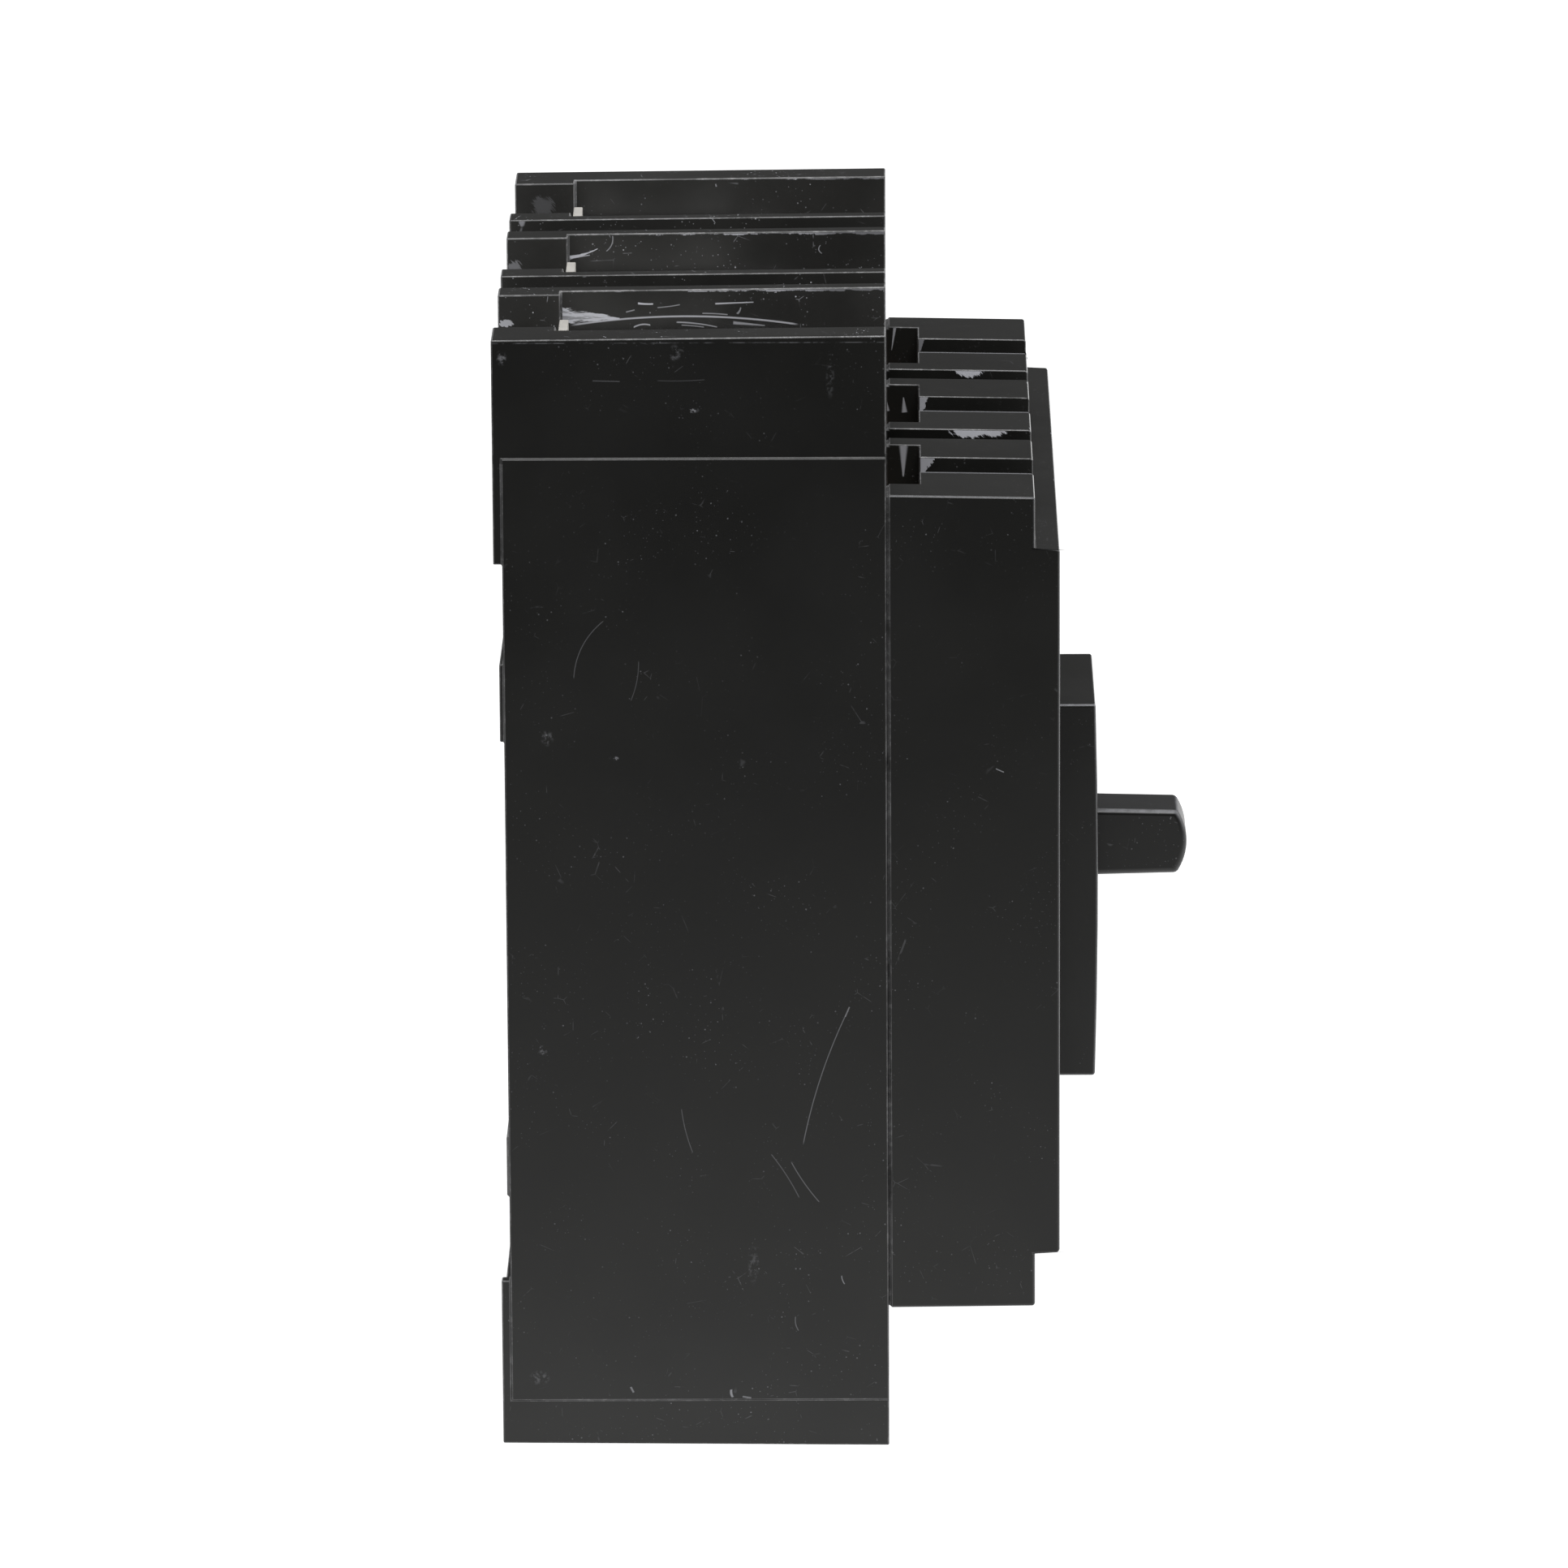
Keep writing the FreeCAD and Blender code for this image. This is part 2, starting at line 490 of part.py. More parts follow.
def cover():
    """The moulded cover: raised middle, crowned escutcheon with the handle slot, vents and driver slots."""
    sides = ("-cover_half", "cover_half")
    profile = [
        ("-base_depth - seam_gap", "cover_top"), ("-cover_front", "cover_top - cover_draft"),
        ("-cover_front", "-cover_bottom + cover_draft / 2"), ("-base_depth - seam_gap", "-cover_bottom"),
    ]
    lower = outline("cover_profile", "YZ", profile, *sides)
    lower = rounded("cover_lower", lower, "edge_round",
                    lambda box: box.YMax < -size("cover_front") + NEAR or box.YLength > 10)
    raised_profile = [
        ("-cover_front + overlap", "raised_top"), ("-raised_front", "raised_top - raised_draft"),
        ("-raised_front", "-raised_bottom + raised_draft"), ("-cover_front + overlap", "-raised_bottom"),
    ]
    raised = outline("cover_raised_profile", "YZ", raised_profile, *sides)
    raised = rounded("cover_raised", raised, "edge_round",
                     lambda box: box.YMax < -size("raised_front") + NEAR)
    rebate = block("cover_rebate", ("-cover_half + seam_step", "cover_half - seam_step"),
                   ("-base_depth - past", "-base_depth"),
                   ("-cover_bottom + seam_step", "cover_top - seam_step"))
    crown = rod("escutcheon_crown", "x", ("escutcheon_crown - escutcheon_front", "crown_height"),
                "escutcheon_crown", ("-escutcheon_half - past", "escutcheon_half + past"))
    plate = block("escutcheon_block", ("-escutcheon_half", "escutcheon_half"),
                  ("-escutcheon_front - past", "-raised_front + overlap"),
                  ("-escutcheon_bottom", "escutcheon_top"))
    crowned = doc.addObject("Part::Common", "escutcheon_crowned")
    crowned.Base = plate
    crowned.Tool = crown
    escutcheon = rounded("escutcheon", crowned, "edge_round",
                         lambda box: box.YMax < -size("escutcheon_front") + 1 or box.YLength > 5)
    solid = fuse("cover_solid", [lower, raised, rebate, escutcheon])

    hollows = [
        block("escutcheon_hollow", ("-hollow_half", "hollow_half"),
              ("-escutcheon_front + cover_wall + crown_sag", "-cover_front"),
              ("-escutcheon_bottom + cover_wall", "escutcheon_top - cover_wall")),
        block("handle_slot", ("-slot_half", "slot_half"), ("-escutcheon_front - past", "-cover_front"),
              ("-slot_bottom", "slot_top")),
        block("label_recess", ("label_left - label_gap", "label_right + label_gap"),
              ("-raised_front - past", "-raised_front + label_thick"),
              ("label_bottom - label_gap", "label_top + label_gap")),
    ]
    back = "-base_depth + past"
    front = "-cover_front - past"
    for name, pole in POLES:
        hollows.append(block(f"cover_cavity_{name}", across(pole, "chamber_width / 2"),
                             ("-raised_front + cover_wall", back),
                             ("-cover_cavity_bottom", "cover_cavity_top")))
        hollows.append(block(f"cover_vent_{name}", across(pole, "vent_width / 2"), ("-vent_front", back),
                             ("cover_cavity_top - past", "cover_top + past")))
        for end, tip, start in ((1, "cover_top", "-vent_front"), (-1, "cover_bottom", back)):
            inner = f"{tip} - driver_slot_depth + driver_slot / 2"
            hollows.append(block(f"driver_slot_{name}_{tip}", across(pole, "driver_slot / 2"),
                                 (front, start), along(end, inner, f"{tip} + past")))
            hollows.append(rod(f"driver_slot_end_{name}_{tip}", "y",
                               (f"{pole} * pole_pitch", f"{end} * ({inner})"),
                               "driver_slot / 2", (front, start)))
    bosses = []
    holes = []
    for name, side in SIDES:
        middle_x = f"{side} * groove_pitch / 2"
        groove = (f"{middle_x} - cover_groove / 2", f"{middle_x} + cover_groove / 2")
        for end, tip in ((1, "cover_top"), (-1, "cover_bottom")):
            hollows.append(block(f"cover_groove_{name}_{tip}", groove, (front, back),
                                 along(end, f"{tip} - cover_groove_depth", f"{tip} + past")))
        for where, height in (("top", "cover_screw_top"), ("bottom", "cover_screw_bottom")):
            bosses.append(rod(f"cover_boss_{where}_{name}", "y", (middle_x, height), "boss_radius",
                              ("-raised_front + past", "-base_depth")))
            holes.append(rod(f"cover_screw_hole_{where}_{name}", "y", (middle_x, height),
                             "cover_screw_radius + screw_gap", ("-raised_front - past", back)))
            holes.append(rod(f"counterbore_{where}_{name}", "y", (middle_x, height), "counterbore",
                             ("-raised_front - past", "-counterbore_floor")))
    guide = block("button_guide", ("pole_pitch - chamber_width / 2 - past", "button_x + guide_half"),
                  ("-guide_front", "-guide_front + guide_thick"),
                  ("button_z - guide_half", "button_z + guide_half"))
    holes.append(rod("button_guide_hole", "y", ("button_x", "button_z"), "button_stem + button_gap",
                     ("-guide_front - past", "-guide_front + guide_thick + past")))
    holes.append(rod("button_hole", "y", ("button_x", "button_z"), "button_radius + button_gap",
                     ("-raised_front - past", "-raised_front + cover_wall + past")))
    shell = cut("cover_shell", solid, hollows)
    node("cover", cut("cover", fuse("cover_with_bosses", [shell, guide] + bosses), holes))


def screw_slot(name, centre_x, centre_z, front, depth, width):
    """The tool that cuts a screwdriver slot along X into a screw whose front face is at a depth."""
    return block(name, (f"{centre_x} - lug_half", f"{centre_x} + lug_half"),
                 (f"-({front}) - past", f"-({front}) + {depth}"),
                 (f"{centre_z} - {width} / 2", f"{centre_z} + {width} / 2"))


def cover_screws():
    """Four slotted screws that hold the cover down on the base."""
    screws = []
    for name, side in SIDES:
        for where, height in (("top", "cover_screw_top"), ("bottom", "cover_screw_bottom")):
            centre = (f"{side} * groove_pitch / 2", height)
            shank = rod(f"cover_shank_{where}_{name}", "y", centre, "cover_screw_radius",
                        ("-counterbore_floor", "-cover_screw_end"))
            head = rod(f"cover_head_{where}_{name}", "y", centre, "cover_screw_head",
                       ("-counterbore_floor - head_height", "-counterbore_floor"))
            slot = screw_slot(f"cover_head_slot_{where}_{name}", *centre, "counterbore_floor + head_height",
                              "slot_depth", "slot_width")
            bolt = fuse(f"cover_bolt_{where}_{name}", [shank, head])
            screws.append(cut(f"cover_screw_{where}_{name}", bolt, [slot]))
    node("cover_screws", group("cover_screws", screws))


def rating_label():
    """A blank metal rating plate in the recess of the raised front."""
    plate = block("rating_label", ("label_left", "label_right"),
                  ("-raised_front", "-raised_front + label_thick"), ("label_bottom", "label_top"))
    node("rating_label", plate)


def handle():
    """The toggle: a blade with a curved tip, its foot, and the curved dust shield behind the slot."""
    front = "-handle_tip - past"
    lower, upper = [
        [("-blade_start", f"handle_pivot_z {sign} handle_root"),
         ("-blade_end", f"handle_pivot_z {sign} handle_end"), (front, f"handle_pivot_z {sign} handle_end")]
        for sign in "-+"
    ]
    sides = ("-handle_half", "handle_half")
    blade = outline("handle_blade", "YZ", lower + upper[::-1], *sides)
    tip = rod("handle_tip_round", "x", ("tip_radius - handle_tip", "handle_pivot_z"), "tip_radius",
              ("-handle_half - past", "handle_half + past"))
    back = block("handle_back", ("-handle_half - past", "handle_half + past"),
                 ("-tip_start", "-blade_start + past"),
                 ("handle_pivot_z - tip_radius - past", "handle_pivot_z + tip_radius + past"))
    shaped = doc.addObject("Part::Common", "handle_shaped")
    shaped.Base = blade
    shaped.Tool = fuse("handle_limits", [tip, back])
    soft = rounded("handle_soft", shaped, "handle_round",
                   lambda box: box.YMax < -size("blade_start") - NEAR and (
                       box.XLength < NEAR or box.YMax < -size("tip_start")))
    foot = block("handle_foot", ("-foot_half", "foot_half"), ("-foot_front", "-yoke_bridge - yoke_steel"),
                 ("handle_pivot_z - foot_half", "handle_pivot_z + foot_half"))
    centre = ("handle_pivot_y", "handle_pivot_z")
    width = ("-shield_half", "shield_half")
    bore = rod("shield_bore", "x", centre, "shield_inner", ("-shield_half - past", "shield_half + past"))
    ring = cut("shield_ring", rod("shield_disc", "x", centre, "shield_outer", width), [bore])
    sector = outline("shield_sector", "YZ", [
        ("handle_pivot_y + yoke_heel + past", "handle_pivot_z"),
        ("handle_pivot_y - sector_reach", "handle_pivot_z - sector_half"),
        ("handle_pivot_y - sector_reach", "handle_pivot_z + sector_half"),
    ], *width)
    shield = doc.addObject("Part::Common", "dust_shield")
    shield.Base = ring
    shield.Tool = sector
    node("handle", fuse("handle", [soft, foot, shield]))


def handle_yoke():
    """The steel fork that carries the handle: two legs outside the side frames and a bridge."""
    legs = []
    for name, side in SIDES:
        low, high = beside(side, "yoke_inner", "yoke_inner + yoke_steel")
        legs.append(outline(f"yoke_leg_{name}", "YZ", [
            ("handle_pivot_y + yoke_heel", "handle_pivot_z - yoke_heel"),
            ("handle_pivot_y + yoke_heel", "handle_pivot_z + yoke_heel"),
            ("-yoke_bridge", "handle_pivot_z + bridge_half"),
            ("-yoke_bridge", "handle_pivot_z - bridge_half"),
        ], low, high, holes=[("handle_pivot_y", "handle_pivot_z", "pin_radius + running_gap")]))
    bridge = block("yoke_bridge_plate", ("-yoke_inner - yoke_steel", "yoke_inner + yoke_steel"),
                   ("-yoke_bridge - yoke_steel", "-yoke_bridge"),
                   ("handle_pivot_z - bridge_half", "handle_pivot_z + bridge_half"))
    node("handle_yoke", fuse("handle_yoke", legs + [bridge]))


def side_frames():
    """The two steel plates that hold the mechanism."""
    for name, side in SIDES:
        low, high = beside(side, "frame_inner", "frame_outer")
        node(f"side_frame_{name}", outline(f"side_frame_{name}", "YZ", [
            ("-back_wall", "frame_bottom"), ("-back_wall", "frame_top"), ("-frame_front + 5", "frame_top"),
            ("-frame_front", "frame_top - 7"), ("-frame_front", "frame_bottom + 7"),
            ("-frame_front + 11", "frame_bottom"),
        ], low, high, holes=[
            ("bar_y", "bar_z", "bar_radius + 0.4"), ("handle_pivot_y", "handle_pivot_z", "pin_radius"),
            ("cradle_y", "cradle_z", "pin_radius"),
        ]))


def frame_pins():
    """The handle's two pivot studs, riveted into the side frames."""
    studs = []
    for name, side in SIDES:
        studs.append(rod(f"handle_stud_{name}", "x", ("handle_pivot_y", "handle_pivot_z"), "pin_radius",
                         beside(side, "frame_inner", "yoke_inner + yoke_steel + 0.8")))
    node("handle_studs", group("handle_studs", studs))
    node("cradle_pin", rod("cradle_pin", "x", ("cradle_y", "cradle_z"), "pin_radius",
                           ("-frame_outer", "frame_outer")))


def cradle():
    """The latched lever that carries the toggle, and the pin for the upper links."""
    plate = outline("cradle", "YZ", [
        ("-46", "12.5"), ("-53", "12.5"), ("-57", "2"), ("-57.5", "-8"), ("-55", "-26"), ("-52.6", "-26"),
        ("-51.5", "-8"), ("-51", "2"), ("-46", "5.5"),
    ], "-1.5", "1.5", holes=[
        ("cradle_y", "cradle_z", "pin_radius + running_gap"), ("link_top_y", "link_top_z", "link_pin_radius"),
    ])
    node("cradle", plate)
    node("upper_link_pin", rod("upper_link_pin", "x", ("link_top_y", "link_top_z"), "link_pin_radius",
                               ("-6.6", "6.6")))


def strip(name, start, end, halves, low, high, holes):
    """A link plate between two (y, z) places, squared off beyond its holes, with a half width at each end."""
    way = Vector(0, size(end[0]) - size(start[0]), size(end[1]) - size(start[1])).normalize()
    corners = []
    for anchor, half, reach, turns in ((start, halves[0], -1, (1, -1)), (end, halves[1], 1, (-1, 1))):
        for turn in turns:
            corners.append((f"{anchor[0]} + {half * (reach * way.y - turn * way.z):.4f}",
                            f"{anchor[1]} + {half * (reach * way.z + turn * way.y):.4f}"))
    return outline(name, "YZ", corners, low, high, holes=holes)


def toggle_links():
    """Upper and lower toggle links, one pair each, with the knee pin in the upper pair."""
    upper = []
    lower = []
    for name, side in SIDES:
        low, high = beside(side, "upper_link_inner", "upper_link_inner + link_thick")
        upper.append(strip(f"upper_link_{name}", ("link_top_y", "link_top_z"), ("knee_y", "knee_z"),
                           UPPER_LINK_HALVES, low, high,
                           [("link_top_y", "link_top_z", "link_pin_radius + running_gap"),
                            ("knee_y", "knee_z", "link_pin_radius")]))
        low, high = beside(side, "lower_link_inner", "lower_link_inner + link_thick")
        lower.append(strip(f"lower_link_{name}", ("carrier_pin_y", "carrier_pin_z"), ("knee_y", "knee_z"),
                           LOWER_LINK_HALVES, low, high,
                           [("carrier_pin_y", "carrier_pin_z", "link_pin_radius + running_gap"),
                            ("knee_y", "knee_z", "knee_slack")]))
    node("upper_links", group("upper_links", upper))
    node("lower_links", group("lower_links", lower))
    node("knee_pin", rod("knee_pin", "x", ("knee_y", "knee_z"), "link_pin_radius", ("-9.2", "9.2")))


def main_springs():
    """The two tension springs from the knee pin to the yoke's bridge."""
    start = (size("knee_y") - 1.9, size("knee_z") + 0.5)
    end = (-size("yoke_bridge") + 0.5, size("handle_pivot_z"))
    springs = [coil(f"main_spring_{name}", *MAIN_SPRING, start, end, side * size("main_spring_x"))
               for name, side in SIDES]
    node("main_springs", group("main_springs", springs))


def cross_bar():
    """The insulating bar that carries the three contact arms, drawn about its axis with contacts closed."""
    bar = rod("bar_rod", "x", ("0", "0"), "bar_radius", ("-bar_half", "bar_half"))
    saddles = []
    slots = []
    for name, pole in POLES:
        saddles.append(block(f"saddle_{name}", across(pole, "6.4"), ("-5.2", "5.2"), ("-6.5", "6.5")))
        slots.append(block(f"arm_slot_{name}", across(pole, "arm_half"), ("-arm_thick", "arm_thick"),
                           ("-8", "8")))
    ears = []
    for name, side in SIDES:
        low, high = beside(side, "4.6", "6.4")
        ears.append(outline(f"ear_{name}", "YZ", [
            ("-2", "2"), ("-9.6", "4.4"), ("-9.6", "10.6"), ("-4.4", "10.6"), ("0", "6.4"),
        ], low, high, holes=[("-7", "8", "link_pin_radius")]))
    room = block("link_room", ("-4.5", "4.5"), ("-12", "-2.9"), ("2", "12"))
    whole = fuse("cross_bar_whole", [bar] + saddles + ears)
    node("cross_bar", turn_open(cut("cross_bar", whole, slots + [room])))
    pin = rod("lower_link_pin", "x", ("carrier_pin_y", "carrier_pin_z"), "link_pin_radius", ("-6.4", "6.4"))
    node("lower_link_pin", pin)


def contact_arms():
    """The copper arms and their silver tips, turned to the half-open rest angle."""
    tips = []
    for name, pole in POLES:
        low, high = across(pole, "arm_half")
        arm = outline(f"contact_arm_{name}", "YZ", [
            ("-arm_thick", "-9"), ("arm_thick", "-9"), ("arm_thick", "10.5"), ("9.8", "25"), ("9.8", "34"),
            ("6.6", "34"), ("6.6", "26"), ("-arm_thick", "11.5"),
        ], low, high)
        node(f"contact_arm_{name}", turn_open(arm))
        tips.append(turn_open(outline(f"moving_tip_{name}", "YZ", [
            ("9.8", "27"), ("9.8 + tip_thick", "27.4"), ("9.8 + tip_thick", "32.6"), ("9.8", "33"),
        ], *across(pole, "tip_half"))))
    node("moving_tips", group("moving_tips", tips))


def line_conductors():
    """The plated straps from the line lugs, looped back under the fixed contacts."""
    tips = []
    for name, pole in POLES:
        node(f"line_conductor_{name}", outline(f"line_conductor_{name}", "YZ", [
            ("-back_wall", "strap_end"), ("-back_wall - strap_thick", "strap_end"),
            ("-back_wall - strap_thick", "loop_bottom + strap_thick"),
            ("-fixed_seat + strap_thick", "loop_bottom + strap_thick"),
            ("-fixed_seat + strap_thick", "loop_top"), ("-fixed_seat", "loop_top"),
            ("-fixed_seat", "loop_bottom"), ("-back_wall", "loop_bottom"),
        ], *across(pole, "strap_half")))
        tips.append(block(f"fixed_tip_{name}", across(pole, "fixed_tip_half"),
                          ("-fixed_seat - tip_thick", "-fixed_seat"), ("fixed_tip_low", "fixed_tip_high")))
    node("fixed_tips", group("fixed_tips", tips))


def load_conductors():
    """The straps from the load lugs with the risers that carry braid, bimetal and magnet yoke."""
    for name, pole in POLES:
        node(f"load_conductor_{name}", outline(f"load_conductor_{name}", "YZ", [
            ("-back_wall", "-strap_end"), ("-back_wall - strap_thick", "-strap_end"),
            ("-back_wall - strap_thick", "riser_bottom"), ("-riser_front", "riser_bottom"),
            ("-riser_front", "riser_top"), ("-back_wall", "riser_top"),
        ], *across(pole, "strap_half")))


def braids():
    """The flexible copper braids between the risers and the contact arms."""
    ribbons = [outline(f"braid_{name}", "YZ", [
        ("-26.9", "-26"), ("-26.9", "-24.4"), ("-24.4", "-24.4"), ("-21.4", "-21.6"), ("-24.2", "-18.2"),
        ("-22.8", "-16.9"), ("-19.2", "-21.6"), ("-23.8", "-26"),
    ], *across(pole, "3")) for name, pole in POLES]
    node("braids", group("braids", ribbons))


def arc_chutes():
    """Fibre side walls with a stack of steel splitter plates, notched for the arm."""
    for name, pole in POLES:
        sides = across(pole, "plate_half")
        mouth = across(pole, "throat_mouth")
        throat = across(pole, "throat_half")
        plates = []
        for i in range(ARC_PLATES):
            low = f"plate_first + {i} * plate_pitch"
            plates.append(outline(f"arc_plate_{name}_{i}", "XZ", [
                (sides[0], "plate_back"), (mouth[0], "plate_back"), (throat[0], "throat_end"),
                (throat[1], "throat_end"), (mouth[1], "plate_back"), (sides[1], "plate_back"),
                (sides[1], "plate_front"), (sides[0], "plate_front"),
            ], low, f"{low} + plate_thick"))
        node(f"arc_plates_{name}", group(f"arc_plates_{name}", plates))
        outer = across(pole, "plate_half + plate_thick")
        walls = [block(f"chute_wall_{name}_{i}", span, ("-chute_front", "-plate_back"),
                       ("chute_bottom", "chute_top"))
                 for i, span in enumerate(((outer[0], sides[0]), (sides[1], outer[1])))]
        node(f"chute_walls_{name}", group(f"chute_walls_{name}", walls))


def vent_screens():
    """Slotted fibre screens that close the arc vents of the base."""
    screens = []
    for name, pole in POLES:
        plate = block(f"screen_plate_{name}", across(pole, "vent_width / 2"), ("-base_depth", "-vent_start"),
                      ("screen_inner", "screen_outer"))
        slots = []
        for i in range(SCREEN_SLOTS):
            back = f"vent_start + overlap + {i} * screen_pitch"
            slots.append(block(f"screen_slot_{name}_{i}", across(pole, "screen_slot_half"),
                               (f"-({back} + screen_slot)", f"-({back})"),
                               ("screen_inner - past", "screen_outer + past")))
        screens.append(cut(f"screen_{name}", plate, slots))
    node("vent_screens", group("vent_screens", screens))


def lugs():
    """Wire lugs at both ends, each with a tang, a wire hole and a binding screw."""
    tang_screws = []
    for end, where in ((1, "line"), (-1, "load")):
        for name, pole in POLES:
            centre = f"{pole} * pole_pitch"
            seat = "-back_wall - strap_thick"
            body = block(f"{where}_lug_body_{name}", across(pole, "lug_half"), ("-lug_front", seat),
                         along(end, "lug_inner", "lug_outer"))
            tang = block(f"{where}_tang_{name}", across(pole, "strap_half"), ("-tang_front", seat),
                         along(end, "tang_inner", "lug_inner"))
            wire = rod(f"{where}_wire_hole_{name}", "z", (centre, "wire_y"), "wire_radius",
                       along(end, "lug_inner - past", "lug_outer + past"))
            thread = rod(f"{where}_thread_{name}", "y", (centre, f"{end} * binding_height"),
                         "binding_radius + running_gap", ("-lug_front - past", "wire_y"))
            clear = rod(f"{where}_tang_hole_{name}", "y", (centre, f"{end} * tang_screw_height"),
                        "tang_screw_radius + running_gap", ("-tang_front - past", seat))
            node(f"{where}_lug_{name}", cut(f"{where}_lug_{name}",
                                            fuse(f"{where}_lug_whole_{name}", [body, tang]),
                                            [wire, thread, clear]))
            screw = rod(f"{where}_screw_rod_{name}", "y", (centre, f"{end} * binding_height"),
                        "binding_radius", ("-binding_front", "-binding_end"))
            slot = screw_slot(f"{where}_screw_slot_{name}", centre, f"{end} * binding_height",
                              "binding_front", "binding_slot_depth", "binding_slot_width")
            node(f"{where}_binding_screw_{name}", cut(f"{where}_binding_screw_{name}", screw, [slot]))
            head = rod(f"{where}_tang_head_{name}", "y", (centre, f"{end} * tang_screw_height"),
                       "tang_head_radius", ("-tang_front - head_height", "-tang_front"))
            shank = rod(f"{where}_tang_shank_{name}", "y", (centre, f"{end} * tang_screw_height"),
                        "tang_screw_radius", ("-tang_front", seat))
            slot = screw_slot(f"{where}_tang_slot_{name}", centre, f"{end} * tang_screw_height",
                              "tang_front + head_height", "slot_depth", "slot_width")
            tang_screws.append(cut(f"{where}_tang_screw_{name}",
                                   fuse(f"{where}_tang_bolt_{name}", [head, shank]), [slot]))
    node("tang_screws", group("tang_screws", tang_screws))


def trip_unit():
    """Bimetals with calibration screws, magnet yokes, armatures, trip bar and latch."""
    bimetals = []
    screws = []
    yokes = []
    levers = []
    for name, pole in POLES:
        screw_place = (f"{pole} * pole_pitch", "calibration_y")
        strip_plate = block(f"bimetal_strip_{name}", across(pole, "bimetal_half"),
                            ("-bimetal_front", "-trip_unit_back"),
                            ("riser_bottom - bimetal_thick", "riser_bottom"))
        hole = rod(f"bimetal_hole_{name}", "z", screw_place, "calibration_radius",
                   ("riser_bottom - bimetal_thick - past", "riser_bottom + past"))
        bimetals.append(cut(f"bimetal_{name}", strip_plate, [hole]))
        stem = rod(f"calibration_stem_{name}", "z", screw_place, "calibration_radius",
                   ("lever_top + 0.4", "riser_bottom"))
        cap = rod(f"calibration_cap_{name}", "z", screw_place, "calibration_radius + 0.8",
                  ("riser_bottom", "riser_bottom + 1.3"))
        screws.append(fuse(f"calibration_screw_{name}", [stem, cap]))
        depth = ("-magnet_front", "-trip_unit_back")
        outer = across(pole, "magnet_half")
        inner = across(pole, "magnet_half - magnet_thick")
        crown = block(f"yoke_crown_{name}", outer, depth, ("riser_top", "riser_top + magnet_thick"))
        legs = [block(f"yoke_leg_{name}_{i}", span, depth, ("magnet_bottom", "riser_top + magnet_thick"))
                for i, span in enumerate(((outer[0], inner[0]), (inner[1], outer[1])))]
        yokes.append(fuse(f"magnet_yoke_{name}", [crown] + legs))
        tongue = across(pole, "tongue_half")
        plate = outline(f"armature_plate_{name}", "XY", [
            (outer[0], "-armature_front"), (tongue[0], "-armature_front"), (tongue[0], "-tongue_front"),
            (tongue[1], "-tongue_front"), (tongue[1], "-armature_front"), (outer[1], "-armature_front"),
            (outer[1], "armature_pivot_y"), (outer[0], "armature_pivot_y"),
        ], "armature_pivot_z - magnet_thick / 2", "armature_pivot_z + magnet_thick / 2")
        knuckle = rod(f"armature_knuckle_{name}", "x", ("armature_pivot_y", "armature_pivot_z"),
                      "knuckle_radius", outer)
        node(f"armature_{name}", fuse(f"armature_{name}", [plate, knuckle]))
        levers.append(block(f"trip_lever_{name}", across(pole, "lever_half"),
                            ("-bimetal_front", "-tongue_front + overlap"), ("lever_bottom", "lever_top")))
    node("bimetals", group("bimetals", bimetals))
    node("calibration_screws", group("calibration_screws", screws))
    node("magnet_yokes", group("magnet_yokes", yokes))
    bar = rod("trip_rod", "x", ("trip_y", "trip_z"), "trip_radius", ("-bar_half", "bar_half"))
    paddle = block("trip_paddle", ("button_x - 2.4", "button_x + 2.4"), ("trip_y - 1.2", "trip_y + 1.2"),
                   ("button_z - 3", "trip_z"))
    node("trip_bar", fuse("trip_bar", [bar, paddle] + levers))
    legs = []
    for name, side in SIDES:
        low, high = beside(side, "latch_inner", "latch_outer")
        legs.append(outline(f"latch_leg_{name}", "YZ", [
            ("trip_y + 3.5", "trip_z - 3.5"), ("trip_y + 3.5", "trip_z + 3.5"), ("-latch_back", "-24.2"),
            ("-latch_front", "-24.2"), ("-latch_front", "-28"), ("trip_y - 4", "trip_z - 3.5"),
        ], low, high, holes=[("trip_y", "trip_z", "trip_radius")]))
    hook = block("latch_hook", ("-latch_outer", "latch_outer"), ("-latch_front", "-latch_back"),
                 ("-27.6", "-25.6"))
    node("latch", fuse("latch", legs + [hook]))


def trip_button():
    """The flush push-to-trip button and its return spring."""
    centre = ("button_x", "button_z")
    head = rod("button_head", "y", centre, "button_radius", ("-raised_front + 0.4", "-70.6"))
    flange = rod("button_flange_disc", "y", centre, "button_flange", ("-71.6", "-70.4"))
    stem = rod("button_stem_rod", "y", centre, "button_stem", ("-71", "-button_stem_end"))
    node("trip_button", fuse("trip_button", [head, flange, stem]))
    spring = coil("button_spring", *BUTTON_SPRING, (-70.0, size("button_z")),
                  (-size("guide_front") - 0.4, size("button_z")), size("button_x"))
    node("button_spring", spring)


def check_all():
    """Stop if any feature failed or any sub-part isn't a valid solid."""
    doc.recompute()
    failed = [o.Name for o in doc.Objects if "Invalid" in o.State or "Error" in o.State]
    if failed:
        raise RuntimeError(f"features failed: {failed}")
    for label, feature in nodes:
        shape = feature.Shape
        if shape.isNull() or not shape.isValid() or not shape.Solids:
            raise RuntimeError(f"{label} is not a valid solid")


def export():
    """Write one STEP file for each sub-part."""
    os.makedirs("parts", exist_ok=True)
    for label, feature in nodes:
        feature.Shape.exportStep(f"parts/{label}.step")
        print(f"{label:28s} {len(feature.Shape.Solids):3d} solids {feature.Shape.Volume:10.1f} mm3")


